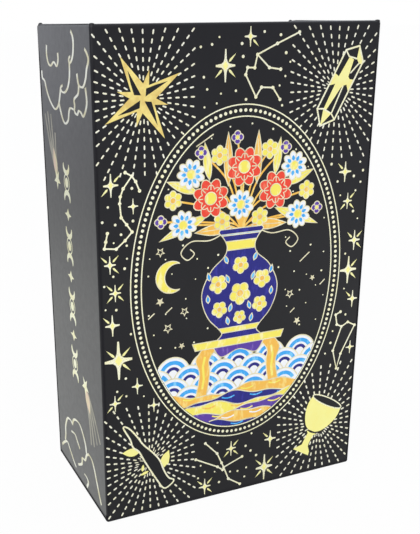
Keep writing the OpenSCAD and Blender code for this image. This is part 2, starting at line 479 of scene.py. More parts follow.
class MotifDrawing:
    """Draws motifs as masks, in millimetres from the middle of a sheet."""

    def __init__(self, wire: Wiring, across: Socket, up: Socket, half: Span) -> None:
        """Measures every point from the middle of the sheet.

        Args:
            wire: the material's tree.
            across: the way to the right of the middle.
            up: the way above the middle.
            half: half the size of the frame line.
        """
        self.wire, self.x, self.z, self.half = wire, across, up, half
        self.ax, self.az = wire.maths("ABSOLUTE", across), wire.maths("ABSOLUTE", up)
        self.r = wire.length(wire.combine(across, up))
        self.turn = wire.maths("DEGREES", wire.maths("ARCTAN2", across, up))

    def under(self, value: object, limit: object, soft: float = 0.07) -> Socket:
        """1 where a value is below a limit."""
        return self.wire.fall(self.wire.minus(value, limit), -soft, soft)

    def gap(self, value: Socket, at: float) -> Socket:
        """How far a value is from a number."""
        return self.wire.maths("ABSOLUTE", self.wire.minus(value, at))

    def line(self, value: Socket, at: float, half: float) -> Socket:
        """1 within half a line's width of where a value is at."""
        return self.under(self.gap(value, at), half)

    def oblong(self, z: float, half_x: float, half_z: float) -> Socket:
        """A filled rectangle in the middle, at a height."""
        return self.wire.times(self.under(self.ax, half_x), self.line(self.z, z, half_z))

    def oval(self, x: float, z: float, half_x: float, half_z: float) -> Socket:
        """A filled ellipse, the same on the left and the right.

        Args:
            x: the way of its centre from the middle.
            z: the height of its centre.
            half_x: its radius across.
            half_z: its radius up.

        Returns:
            The ellipse's mask.
        """
        side = self.wire.over(self.wire.minus(self.ax, x), half_x)
        rise = self.wire.over(self.wire.minus(self.z, z), half_z)
        return self.under(self.wire.plus(self.wire.times(side, side), self.wire.times(rise, rise)), 1.0)

    def rays(self, count: int, inner: float, outer: float) -> Socket:
        """A star of so many pointed rays."""
        wave = self.wire.over(self.wire.maths("PINGPONG", self.turn, 180.0 / count), 180.0 / count)
        return self.under(self.r, self.wire.blend(wave, outer, inner))

    def frame(self, *lines: Span, clear: float = 0.8) -> tuple[Socket, Socket]:
        """Draws frame lines.

        Args:
            lines: each line's distance inside the half size, and half its width.
            clear: bare border inside the last line.

        Returns:
            The lines' mask, and that of the area inside them all.
        """
        edge = self.wire.most(self.wire.minus(self.ax, self.half[0]), self.wire.minus(self.az, self.half[1]))
        drawn = self.wire.most(*[self.line(edge, -inside, half) for inside, half in lines])
        return drawn, self.under(edge, -lines[-1][0] - clear)

    def lattice(self) -> Socket:
        """Draws a diamond lattice with a sparkle in each cell, round a rayed disc.

        Returns:
            The mask.
        """
        wire, cell, lean = self.wire, 4.2, 0.62
        drawn, inside = self.frame((0.0, 0.45), (1.7, 0.16))
        sums = [wire.maths(way, self.x, wire.times(self.z, lean)) for way in ("ADD", "SUBTRACT")]
        lines = [wire.maths("PINGPONG", value, cell) for value in sums]
        cross = wire.most(*[self.under(value, 0.16) for value in lines])
        rest = [wire.maths("SQRT", wire.minus(cell, value)) for value in lines]
        sparkle = self.under(wire.plus(*rest), 1.35)
        ground = wire.times(inside, self.under(16.0, self.r))
        disc = wire.most(*self.rings((15.2, 0.3), (14.0, 0.12)), self.rays(16, 6.0, 13.0))
        hub = wire.times(self.under(self.r, 5.2), self.under(3.9, self.r))
        disc = wire.most(wire.times(disc, self.under(5.6, self.r)), hub, self.rays(8, 0.9, 3.3))
        return wire.most(drawn, wire.times(ground, wire.most(cross, sparkle)), disc)

    def rings(self, *rings: Span) -> list[Socket]:
        """Rings by their radius and half the width of their line."""
        return [self.line(self.r, radius, half) for radius, half in rings]

    def sun(self) -> Socket:
        """A rayed disc in a ring."""
        body = self.wire.times(self.rays(16, 9.0, 17.0), self.under(8.2, self.r))
        return self.wire.most(self.under(self.r, 7.2), body, *self.rings((20.0, 0.35), (21.2, 0.15)))

    def rod(self) -> Socket:
        """A staff with leaves."""
        leaves = [self.oval(4.3, z, 3.0, 1.6) for z in (13.0, 2.0, -9.0)]
        return self.wire.most(self.oblong(0.0, 1.5, 25.0), self.oval(0.0, 25.0, 2.6, 2.6), *leaves)

    def goblet(self) -> Socket:
        """Draws a footed cup.

        Returns:
            The mask.
        """
        bowl = self.wire.times(self.oval(0.0, 15.0, 11.0, 17.0), self.under(self.z, 14.0))
        rim, foot = self.oval(0.0, 15.6, 11.0, 1.1), self.oval(0.0, -16.5, 8.0, 1.8)
        return self.wire.most(bowl, rim, self.oblong(-8.0, 1.4, 8.0), foot)

    def blade(self) -> Socket:
        """Draws a straight sword.

        Returns:
            The mask.
        """
        taper = self.wire.rise(self.z, 20.0, 27.0, 1.7, 0.0)
        steel = [self.under(self.ax, taper), self.under(-10.0, self.z), self.under(self.z, 27.0)]
        guard, grip = self.oblong(-11.0, 9.0, 1.0), self.oblong(-17.0, 1.1, 6.0)
        return self.wire.most(self.wire.times(*steel), guard, grip, self.oval(0.0, -24.0, 2.3, 2.3))

    def coin(self) -> Socket:
        """A ringed disc with a five-pointed star."""
        return self.wire.most(*self.rings((17.0, 0.9), (14.8, 0.2)), self.rays(5, 5.2, 13.6))

    def draw(self, motif: Motif) -> Socket:
        """Draws a motif in its frame.

        Args:
            motif: what is drawn.

        Returns:
            The mask.
        """
        if motif is Motif.LATTICE:
            return self.lattice()
        drawn, _ = self.frame((0.0, 0.4), (1.5, 0.14))
        if motif is Motif.PLAIN:
            return drawn
        return self.wire.most(drawn, getattr(self, motif.value)())


@dataclass(frozen=True)
class GildedSheet(Finish):
    """Coated card or cover with gold print on both sides and raw stock at the cut edge."""

    name: str
    node: str
    back: Motif
    face: Motif
    face_ground: Colour
    back_ground: Colour = (0.014, 0.018, 0.075)
    stock: Colour = (0.8, 0.76, 0.66)
    gold: Colour = (0.93, 0.66, 0.25)
    frame_margin: float = 3.6
    side_limit: float = 0.5
    cloud_scale: float = 0.12
    cloud_shares: Span = (1.6, 0.9)
    fibre_stretch: Triple = (1.0, 9.0, 1.0)
    fibre_scale: float = 2.5
    fibre_span: Span = (0.4, 0.65)
    fibre_share: float = 0.82
    linen_scale: float = 2.2
    linen_roughness: Span = (0.3, 0.42)
    bump_depth: float = 0.006

    def looks(self, wire: Wiring) -> Feeds:
        """Writes print by which way a face looks: the back to the front of the box, the face to its rear.

        Args:
            wire: the material's tree.

        Returns:
            What feeds the shader.
        """
        low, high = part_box(self.node)
        x, _, z = wire.split(wire.coordinates())
        across, up = wire.minus(x, (low.x + high.x) / 2 / MM), wire.minus(z, (low.z + high.z) / 2 / MM)
        half = tuple((high[axis] - low[axis]) / 2 / MM - self.frame_margin for axis in (0, 2))
        drawing = MotifDrawing(wire, across, up, half)
        facing = wire.split(wire.node("ShaderNodeTexCoord").outputs["Normal"])[1]
        is_back = wire.maths("LESS_THAN", facing, -self.side_limit)
        is_face = wire.maths("GREATER_THAN", facing, self.side_limit)
        sides = ((self.back, is_back), (self.face, is_face))
        gilt = wire.most(*[wire.times(drawing.draw(motif), shown) for motif, shown in sides])
        cloud = wire.rise(wire.noise(wire.coordinates(), self.cloud_scale, 4.0), *CLOUD_SPAN)
        fibres = wire.noise(wire.coordinates(self.fibre_stretch), self.fibre_scale)
        fibres = wire.rise(fibres, *self.fibre_span)
        raw = wire.tint(fibres, self.stock, shaded(self.stock, self.fibre_share))
        back, face = (
            wire.tint(cloud, ground, shaded(ground, share))
            for ground, share in zip((self.back_ground, self.face_ground), self.cloud_shares)
        )
        ground = wire.tint(is_face, wire.tint(is_back, raw, back), face)
        linen = wire.noise(wire.coordinates(), self.linen_scale, 2.0)
        return {
            "Base Color": wire.tint(gilt, ground, self.gold),
            "Metallic": gilt,
            "Roughness": wire.rise(linen, *NOISE_SPAN, *self.linen_roughness),
            "Normal": wire.bump(linen, self.bump_depth),
        }


GOLD_PALE = FoilStamp("gold_foil_pale", (1.0, 0.95, 0.34), (1.0, 0.93, 0.3), 0.36, 0.25)
# The star's foil: a darker copy of the corner foil, painted shade for the weaker reflection it shows
GOLD_SHADED = FoilStamp("gold_foil_deep", (1.0, 0.83, 0.28), (0.82, 0.6, 0.18), 0.38)
GOLD_SATIN = FoilStamp("gold_foil_satin", (1.0, 0.95, 0.4), (1.0, 0.9, 0.33), 0.5)
GOLD_CREAM = FoilStamp("gold_foil_cream", (1.0, 0.97, 0.48), (1.0, 0.94, 0.4))
GOLD_BRIGHT = FoilStamp("gold_foil_bright", (1.0, 0.98, 0.74), (1.0, 0.95, 0.6))
GOLD_RAY = FoilStamp("gold_foil_ray", (0.98, 0.96, 0.81), (0.96, 0.92, 0.67))
GOLD_LINE = FoilStamp("gold_foil_line", (0.95, 0.89, 0.62), (0.74, 0.67, 0.44), 0.3)
# GOLD_SIDE and GOLD_COLUMN are copies of the front's foil for the walls, with colours set for the light there
# (painted light); GOLD_COLUMN is brighter still, a painted highlight
GOLD_SIDE = FoilStamp("gold_foil_side", (0.92, 0.92, 0.8), (0.72, 0.67, 0.42), 0.26, 1.0)
GOLD_COLUMN = FoilStamp("gold_foil_column", (1.0, 1.0, 0.76), (0.96, 0.92, 0.58), 0.26, 1.0)
GOLD_ROSE = FoilStamp("gold_foil_rose", (0.84, 0.64, 0.5), (0.82, 0.74, 0.46), 0.3, 1.0)
GOLD_DIM = FoilStamp("gold_foil_dim", (0.44, 0.42, 0.35), (0.33, 0.32, 0.27), 0.4, 1.0)


class Ink(Enum):
    """The printed colours of the oval picture."""

    NAVY = ScreenInk("ink_navy", (0.014, 0.014, 0.2), (0.03, 0.028, 0.3), 0.4)
    YELLOW = ScreenInk("ink_yellow", (0.92, 0.8, 0.12), (0.96, 0.88, 0.38), 0.5)
    RED = ScreenInk("ink_red", (0.84, 0.06, 0.03), (0.9, 0.17, 0.09), 0.35)
    WHITE = ScreenInk("ink_white", (0.88, 0.89, 0.9), (0.62, 0.76, 0.88), 0.15)
    SKY = ScreenInk("ink_sky", (0.045, 0.38, 0.85), (0.2, 0.6, 0.92), 0.5)
    OCHRE = ScreenInk("ink_ochre", (0.9, 0.5, 0.08), (0.94, 0.68, 0.2), 0.5)
    PURPLE = ScreenInk("ink_purple", (0.1, 0.045, 0.34), (0.2, 0.12, 0.46), 0.4)


NAVY, YELLOW, RED, WHITE, SKY, OCHRE, PURPLE = Ink


def polar(radius: float, degrees: float) -> complex:
    """A point by its distance and direction from the origin."""
    return cmath.rect(radius, math.radians(degrees))


def flat(point: complex) -> Triple:
    """A point on the ground plane, in metres."""
    return (point.real * MM, point.imag * MM, 0.0)


def spots(*pairs: Span, side: int = 1) -> Path:
    """Points by their place across and up, on the other side of the middle where side is -1."""
    return [complex(side * across, up) for across, up in pairs]


def ring_path(centre: complex, radii: complex, turn: float = 0.0, steps: int = 24) -> Path:
    """Runs round an ellipse.

    Args:
        centre: its middle.
        radii: its radii across and up, as the parts of one number.
        turn: how far it is turned, in degrees.
        steps: how many points are taken.

    Returns:
        The points, anticlockwise.
    """
    tilt = polar(1.0, turn)
    angles = [2 * math.pi * i / steps for i in range(steps)]
    return [centre + tilt * complex(radii.real * math.cos(a), radii.imag * math.sin(a)) for a in angles]


def disc_path(centre: complex, radius: float, steps: int = 24) -> Path:
    """Points round a circle."""
    return ring_path(centre, radius * (1 + 1j), 0.0, steps)


def oblong_path(low: complex, high: complex) -> Path:
    """The corners of an upright rectangle, by its lower left and upper right one."""
    return [low, complex(high.real, low.imag), high, complex(low.real, high.imag)]


def star_path(centre: complex, radii: Span) -> Path:
    """The outline of a five-pointed star whose valleys and tips lie at two radii."""
    return [centre + polar(radii[k % 2], 18 + 36 * k) for k in range(10)]


def flowing(knots: Sequence[complex], steps: int = 6, closed: bool = False) -> Path:
    """Runs smoothly through knots.

    Args:
        knots: the points that the path passes.
        steps: points for each stretch between two knots.
        closed: whether the path returns to its start.

    Returns:
        Points along the path.
    """
    count, path = len(knots), []
    for i in range(count if closed else count - 1):
        if closed:
            a, b, c, d = (knots[(i + k) % count] for k in (-1, 0, 1, 2))
        else:
            a, b, c, d = (knots[min(max(i + k, 0), count - 1)] for k in (-1, 0, 1, 2))
        square, cube = 2 * a - 5 * b + 4 * c - d, 3 * b - a - 3 * c + d
        for k in range(steps):
            t = k / steps
            path.append(0.5 * (2 * b + (c - a) * t + square * t**2 + cube * t**3))
    return path if closed else path + [knots[-1]]


def leaf_path(base: complex, tip: complex, width: float, steps: int = 7) -> Path:
    """Runs round a pointed leaf.

    Args:
        base: its lower end.
        tip: its upper end.
        width: its greatest width.
        steps: points along each side.

    Returns:
        The outline.
    """
    along, sides = tip - base, []
    across = 1j * along / abs(along) * width / 2
    swell = [math.sin(math.pi * (i / steps) ** 0.85) for i in range(steps + 1)]
    for side in (1, -1):
        sides.append([base + along * i / steps + side * across * swell[i] for i in range(steps + 1)])
    return sides[1][:-1] + sides[0][:0:-1]


def blossom_path(centre: complex, radius: float, petals: int, turn: float = 0.0, depth: float = 0.26) -> Path:
    """Runs round the scalloped edge of a blossom.

    Args:
        centre: its middle.
        radius: its radius at the petals' tips.
        petals: how many petals it has.
        turn: the direction of the first notch, in degrees.
        depth: how deep the notches are, as a share of the radius.

    Returns:
        The outline.
    """
    steps, path = petals * 6, []
    for i in range(steps):
        angle = 360.0 * i / steps
        swell = abs(math.sin(math.radians(angle * petals / 2)))
        path.append(centre + polar(radius * (1 - depth + depth * swell), angle + turn))
    return path


def area(outline: Sequence[complex]) -> float:
    """Area inside an outline, positive where it runs anticlockwise."""
    return sum((a.conjugate() * b).imag for a, b in zip(outline, [*outline[1:], outline[0]])) / 2


@dataclass
class Patch:
    """Flat faces that share their corners."""

    points: Path
    faces: list[tuple[int, ...]]

    @classmethod
    def filled(cls, outline: Sequence[complex]) -> "Patch":
        """The inside of one outline."""
        return cls(list(outline), [tuple(range(len(outline)))])

    @classmethod
    def ribbon(cls, path: Sequence[complex], width: float | Sequence[float], closed: bool = False) -> "Patch":
        """A band along a path, whose mitres keep within a stretch of it so that no face folds over.

        Args:
            path: the band's middle line.
            width: its width, or one width for each point.
            closed: whether its end joins its start.

        Returns:
            The band, mitred at the bends.
        """
        count, tiny, sharpest, stretch = len(path), 1e-6, 0.45, 0.49
        widths = [width] * count if isinstance(width, (int, float)) else list(width)
        points: Path = []
        for i, point in enumerate(path):
            came = point - path[i - 1] if closed or i else 0
            goes = path[(i + 1) % count] - point if closed or i < count - 1 else 0
            came, goes = came or goes, goes or came
            step = min(abs(came), abs(goes))
            came, goes = came / abs(came), goes / abs(goes)
            along = came + goes
            along = along / abs(along) if abs(along) > tiny else goes
            bend = along.conjugate() * goes
            mitre = widths[i] / 2 / max(sharpest, bend.real)
            spread = min(mitre, stretch * step / max(tiny, abs(bend.imag)))
            points += [point + 1j * along * spread, point - 1j * along * spread]
        pairs = [(i, (i + 1) % count) for i in range(count if closed else count - 1)]
        return cls(points, [(2 * a + 1, 2 * b + 1, 2 * b, 2 * a) for a, b in pairs])

    def upward(self) -> list[tuple[int, ...]]:
        """The faces that have an area, each run anticlockwise."""
        sized = [(area([self.points[i] for i in face]), face) for face in self.faces]
        return [face if size > 0 else face[::-1] for size, face in sized if abs(size) >= LEAST_AREA]


@dataclass(frozen=True)
class Plane:
    """A flat face that ornament lies on, whose axes are shorter than one where the print is laid small."""

    origin: Vector
    across: Vector
    up: Vector

    @property
    def outward(self) -> Vector:
        """The direction that the face looks in."""
        return self.across.cross(self.up).normalized()

    def place(self, point: complex, height: float) -> Vector:
        """The place in metres of a point that stands so many millimetres off the face."""
        return (self.origin + self.across * point.real + self.up * point.imag + self.outward * height) * MM


@dataclass(frozen=True)
class BoxFaces:
    """Outer faces of the lid's paper, set back from the CAD box by the height kept for foil and ink."""

    paper: float = 0.2
    set_back: float = 0.04
    front_scale: complex = 0.9941 + 0.9932j
    front_shift: complex = -0.37 + 0.83j
    side_scale: complex = 0.99 + 0.9975j
    side_shift: complex = 0.3 + 0.49j

    def size(self) -> Vector:
        """Half width, half depth and height of the box in millimetres."""
        low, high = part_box("lid_board")
        return Vector((high.x / MM + self.paper, -low.y / MM + self.paper, high.z / MM + self.paper))

    def front(self) -> Plane:
        """The wide front panel, from the middle of its foot."""
        foot = Vector((self.front_shift.real, self.set_back - self.size().y, self.front_shift.imag))
        return Plane(foot, Vector((self.front_scale.real, 0, 0)), Vector((0, 0, self.front_scale.imag)))

    def side(self, sign: int) -> Plane:
        """The long wall on the left, for -1, or on the right, for 1, from the middle of its foot."""
        foot = Vector((sign * (self.size().x - self.set_back), self.side_shift.real, self.side_shift.imag))
        return Plane(foot, Vector((0, sign * self.side_scale.real, 0)), Vector((0, 0, self.side_scale.imag)))


FACES = BoxFaces()
# Foil stands on the paper and its foot is sunk in it. Plates that may cross stand on steps of their own.
FOIL_HEIGHT = 0.022
SUNK = 0.012


def add_object(name: str, data: bpy.types.ID) -> Object:
    """Adds an object to the scene.

    Args:
        name: its name.
        data: its mesh, lamp or camera.

    Returns:
        The object.
    """
    made = bpy.data.objects.new(name, data)
    bpy.context.scene.collection.objects.link(made)
    return made


def add_piece(name: str, mesh: Mesh, body: str = "lid") -> Object:
    """Makes a mesh a piece of the scene.

    Args:
        name: the piece's name.
        mesh: its mesh.
        body: the body that it rides on.

    Returns:
        The piece.
    """
    piece = add_object(name, mesh)
    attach(piece, body)
    LOG.info("piece %s: %d faces on %s", name, len(mesh.polygons), body)
    return piece


def take_mesh(name: str, shell: Shell) -> Mesh:
    """Ends the work on a shell.

    Args:
        name: the mesh's name.
        shell: the faces, which are freed.

    Returns:
        The mesh.
    """
    mesh = bpy.data.meshes.new(name)
    shell.to_mesh(mesh)
    shell.free()
    return mesh


def settled_mesh(source: Object) -> Mesh:
    """Runs an object's modifiers and removes the object with its own mesh.

    Args:
        source: the object.

    Returns:
        The plain mesh that the modifiers make.
    """
    graph, raw = bpy.context.evaluated_depsgraph_get(), source.data
    mesh = bpy.data.meshes.new_from_object(source.evaluated_get(graph), depsgraph=graph)
    source.modifiers.clear()
    bpy.data.objects.remove(source)
    bpy.data.meshes.remove(raw)
    return mesh


@dataclass
class PlateSheet:
    """Thin plates of one finish on one face, gathered into one mesh."""

    name: str
    plane: Plane
    finish: Finish
    plates: list[tuple[Patch, float]] = field(default_factory=list)

    def add(self, *patches: Patch, height: float, step: float = 0.0) -> None:
        """Keeps patches that stand so high, each a step higher than the last."""
        self.plates += [(patch, height + step * i) for i, patch in enumerate(patches)]

    def raise_plate(self, shell: Shell, patch: Patch, height: float) -> None:
        """Makes one patch a closed plate whose foot is sunk in the paper.

        Args:
            shell: takes the plate's faces.
            patch: the plate's flat faces.
            height: how high it stands.
        """
        levels = (height, -SUNK)
        top, foot = ([shell.verts.new(self.plane.place(p, level)) for p in patch.points] for level in levels)
        edges: set[tuple[int, int]] = set()
        for face in patch.upward():
            shell.faces.new([top[i] for i in face])
            shell.faces.new([foot[i] for i in reversed(face)])
            edges |= set(zip(face, face[1:] + face[:1]))
        for a, b in sorted(edges):
            if (b, a) not in edges:
                shell.faces.new((foot[a], foot[b], top[b], top[a]))

    def build(self) -> None:
        """Makes the piece that holds all plates."""
        shell = bmesh.new()
        for patch, height in self.plates:
            self.raise_plate(shell, patch, height)
        bmesh.ops.delete(shell, geom=[v for v in shell.verts if not v.link_faces], context="VERTS")
        mesh = take_mesh(self.name, shell)
        mesh.materials.append(self.finish.material())
        add_piece(self.name, mesh)


class FlatHelper:
    """A flat mesh that a Geometry Nodes tree reads, and that is removed afterwards."""

    def __init__(self, name: str, patches: Iterable[Patch], thick: bool = False) -> None:
        """Lays patches on the ground plane, in metres.

        Args:
            name: the helper's name.
            patches: what is laid there.
            thick: whether they get a height of one metre, to be scaled by the tree.
        """
        shell = bmesh.new()
        for patch in patches:
            corners = [shell.verts.new(flat(p)) for p in patch.points]
            for face in patch.upward():
                shell.faces.new([corners[i] for i in face])
        if thick:
            grown = bmesh.ops.extrude_face_region(shell, geom=shell.faces[:])["geom"]
            for v in (v for v in grown if isinstance(v, bmesh.types.BMVert)):
                v.co.z = 1.0
            bmesh.ops.recalc_face_normals(shell, faces=shell.faces[:])
        self.object = add_object(name, take_mesh(name, shell))

    def remove(self) -> None:
        """Takes the mesh out of the file."""
        mesh = self.object.data
        bpy.data.objects.remove(self.object)
        bpy.data.meshes.remove(mesh)


class NodeRecipe:
    """A Geometry Nodes tree with named inputs, run once to a plain mesh on a face of the box."""

    KINDS = {
        int: "NodeSocketInt", float: "NodeSocketFloat", tuple: "NodeSocketVector",
        bpy.types.Object: "NodeSocketObject", bpy.types.Material: "NodeSocketMaterial",
    }

    def __init__(self, name: str, finish: Finish, **sizes: object) -> None:
        """Makes the tree's inputs, with those that stand its mesh on the front of the box.

        Args:
            name: the name of the tree and of the piece that it makes.
            finish: the piece's finish.
            sizes: the inputs' values by their names, in metres where they are lengths.
        """
        self.name, self.finish, plane = name, finish, FACES.front()
        self.group = bpy.data.node_groups.new(name, "GeometryNodeTree")
        self.group.interface.new_socket("Points", in_out="INPUT", socket_type="NodeSocketGeometry")
        self.group.interface.new_socket("Mesh", in_out="OUTPUT", socket_type="NodeSocketGeometry")
        self.values: dict[str, object] = {}
        axes = (plane.across.normalized(), plane.up.normalized(), plane.outward)
        turn, scale = Matrix(axes).transposed().to_euler(), (plane.across.length, plane.up.length, 1.0)
        sizes |= {"face_place": tuple(plane.origin * MM), "face_turn": tuple(turn), "face_scale": scale}
        sizes |= {"finish": finish.material()}
        for label, value in sizes.items():
            kind = next(self.KINDS[k] for k in self.KINDS if isinstance(value, k))
            item = self.group.interface.new_socket(label, in_out="INPUT", socket_type=kind)
            self.values[item.identifier] = value
        self.wire = Wiring(self.group)
        self.entry = self.wire.node("NodeGroupInput")

    def size(self, label: str) -> Socket:
        """The socket of a named input."""
        return self.entry.outputs[label]

    def mesh_of(self, label: str) -> Socket:
        """The mesh of a named input that is an object."""
        return self.wire.node("GeometryNodeObjectInfo", {"Object": self.size(label)}).outputs["Geometry"]

    def place(self) -> Socket:
        """The place of each point."""
        return self.wire.out("GeometryNodeInputPosition")

    def random(self, low: object, high: object, **feeds: object) -> Socket:
        """A random number for each point, or for each ID, from the seed that is an input."""
        feeds = {2: low, 3: high, **feeds, "Seed": self.size("seed")}
        return self.wire.node("FunctionNodeRandomValue", feeds, data_type="FLOAT").outputs[1]

    def without(self, points: Socket, selection: Socket) -> Socket:
        """The points that aren't selected."""
        return self.wire.out("GeometryNodeDeleteGeometry", {"Geometry": points, "Selection": selection})

    def hits(self, label: str, place: Socket) -> Socket:
        """Finds the points that lie over a flat mesh.

        Args:
            label: the named input that holds the mesh.
            place: the points' places.

        Returns:
            Whether each lies over it.
        """
        mesh = self.mesh_of(label)
        above = self.wire.vector("ADD", place, (0, 0, MM))
        ray = {"Source Position": above, "Ray Direction": (0, 0, -1), "Ray Length": 2 * MM}
        return self.wire.node("GeometryNodeRaycast", {"Target Geometry": mesh, **ray}).outputs["Is Hit"]

    def stamp(self, points: Socket, shape: Socket, turn: object, scale: object) -> None:
        """Ends the tree: shapes on points, made real, stood on the face, with their finish.

        Args:
            points: where the shapes go.
            shape: the mesh of one shape.
            turn: each shape's turn.
            scale: each shape's scale.
        """
        feeds = {"Points": points, "Instance": shape, "Rotation": turn, "Scale": scale}
        geometry = self.wire.out("GeometryNodeInstanceOnPoints", feeds)
        geometry = self.wire.out("GeometryNodeRealizeInstances", {0: geometry})
        stood = {"Translation": "face_place", "Rotation": "face_turn", "Scale": "face_scale"}
        feeds = {"Geometry": geometry} | {socket: self.size(label) for socket, label in stood.items()}
        geometry = self.wire.out("GeometryNodeTransform", feeds)
        feeds = {"Geometry": geometry, "Material": self.size("finish")}
        self.wire.node("NodeGroupOutput", {0: self.wire.out("GeometryNodeSetMaterial", feeds)})

    def run(self, carrier: Mesh | None = None) -> None:
        """Makes the piece.

        Args:
            carrier: a mesh whose points the tree reads, where it reads any.
        """
        base = add_object(self.name + "_base", carrier or bpy.data.meshes.new(self.name + "_base"))
        modifier = base.modifiers.new("recipe", "NODES")
        modifier.node_group = self.group
        for identifier, value in self.values.items():
            modifier[identifier] = value
        mesh = settled_mesh(base)
        bpy.data.node_groups.remove(self.group)
        mesh.name = self.name
        mesh.materials.clear()
        mesh.materials.append(self.finish.material())
        add_piece(self.name, mesh)


@dataclass(frozen=True)
class OvalFrame:
    """Two foil lines with a row of beads between them, round the picture on the front."""

    centre: complex = 0.47 + 64.24j
    outer: complex = 31.82 + 46.35j
    turn: float = 0.54
    line_width: float = 0.31
    line_height: float = FOIL_HEIGHT + 0.003
    bead_inset: float = 1.44
    inner_inset: float = 2.94
    bead_count: int = 166
    bead_radius: float = 0.445
    bead_sides: int = 12
    fence_steps: int = 72
    curve_steps: int = 256

    def radii(self, inset: float) -> complex:
        """Radii of the oval that lies so far inside the outer line."""
        return self.outer - inset * (1 + 1j)

    def path(self, inset: float, steps: int = 128) -> Path:
        """Points round the oval that lies so far inside the outer line."""
        return ring_path(self.centre, self.radii(inset), self.turn, steps)

    def holds(self, point: complex, inset: float) -> bool:
        """Whether a point is inside that oval."""
        local, radii = (point - self.centre) * polar(1, -self.turn), self.radii(inset)
        return (local.real / radii.real) ** 2 + (local.imag / radii.imag) ** 2 < 1

    def trim(self, outline: Sequence[complex], inset: float) -> Path:
        """Cuts an outline to an oval.

        Args:
            outline: what is cut.
            inset: how far the oval lies inside the outer line.

        Returns:
            What is left of the outline, or nothing.
        """
        fence, kept = self.path(inset, self.fence_steps), list(outline)
        for a, b in zip(fence, [*fence[1:], fence[0]]):
            source, kept = kept, []
            depth = [((b - a).conjugate() * (p - a)).imag for p in source]
            for i, p in enumerate(source):
                q, here, there = source[i - 1], depth[i], depth[i - 1]
                if (here >= 0) != (there >= 0):
                    kept.append(q + (p - q) * there / (there - here))
                if here >= 0:
                    kept.append(p)
            if not kept:
                break
        return kept

    def build_beads(self) -> None:
        """Makes the row of beads."""
        radii = self.radii(self.bead_inset) * MM
        recipe = NodeRecipe(
            "oval_beads", GOLD_BRIGHT, radii=(radii.real, radii.imag, 1.0), turn=math.radians(self.turn),
            centre=flat(self.centre), count=self.bead_count,
            bead_radius=self.bead_radius * MM, bead_height=2 * FOIL_HEIGHT * MM,
        )
        wire, size = recipe.wire, recipe.size
        oval = wire.out("GeometryNodeCurvePrimitiveCircle", {"Resolution": self.curve_steps, "Radius": 1.0})
        feeds = {"Translation": size("centre"), "Rotation": wire.combine(z=size("turn"))}
        oval = wire.out("GeometryNodeTransform", {"Geometry": oval, "Scale": size("radii"), **feeds})
        row = wire.out("GeometryNodeResampleCurve", {"Curve": oval, "Count": size("count")}, mode="COUNT")
        feeds = {"Vertices": self.bead_sides, "Radius": size("bead_radius"), "Depth": size("bead_height")}
        bead = wire.node("GeometryNodeMeshCylinder", feeds).outputs["Mesh"]
        recipe.stamp(row, bead, (0.0, 0.0, 0.0), (1.0, 1.0, 1.0))
        recipe.run()

    def build(self) -> None:
        """Makes the lines and the beads."""
        lines = PlateSheet("oval_lines", FACES.front(), GOLD_BRIGHT)
        for inset in (0.0, self.inner_inset):
            lines.add(Patch.ribbon(self.path(inset), self.line_width, closed=True), height=self.line_height)
        lines.build()
        self.build_beads()


OVAL = OvalFrame()


class Emblem(ABC):
    """A foil figure in a corner of the front."""

    line = 0.46

    @abstractmethod
    def outlines(self) -> list[Path]:
        """The outlines that the figure fills, which keep the rays off it."""

    @abstractmethod
    def fills(self) -> list[Patch]:
        """The figure's solid foil."""

    def lines(self) -> list[Patch]:
        """The figure's drawn lines, where it has any."""
        return []


@dataclass(frozen=True)
class CompassStar(Emblem):
    """Star of four long and four short points, with a dark sliver in each long one."""

    centre: complex = -27.15 + 113.2j
    turn: float = 30.0
    long: float = 11.25
    short: float = 6.8
    valley: float = 3.4
    spread: float = 32.0
    sliver: tuple[complex, ...] = (0.8 + 0.0j, 1.85 + 1.5j, 4.6 + 0.9j, 7.5 + 0.0j)

    def outlines(self) -> list[Path]:
        """Runs through all points and valleys.

        Returns:
            One outline.
        """
        valley, spread = self.valley, self.spread
        steps = ((self.long, 0.0), (valley, spread), (self.short, 45.0), (valley, 90.0 - spread))
        return [[self.centre + polar(r, self.turn + 90 * k + a) for k in range(4) for r, a in steps]]

    def fills(self) -> list[Patch]:
        """Fills solid halves, half-open halves and short points, round the centre.

        Returns:
            The star's foil.
        """
        made, bends = [], (-self.spread, self.spread, 90 - self.spread)
        for k in range(4):
            at = self.turn + 90 * k
            tip, short = polar(self.long, at), polar(self.short, at + 45)
            before, after, beyond = (polar(self.valley, at + bend) for bend in bends)
            near, wide, slim, far = (polar(1.0, at) * corner for corner in self.sliver)
            shapes = [[0, before, tip], [tip, after, wide, slim, far], [0, near, wide, after, short, beyond]]
            made += [Patch.filled([self.centre + p for p in shape]) for shape in shapes]
        return made


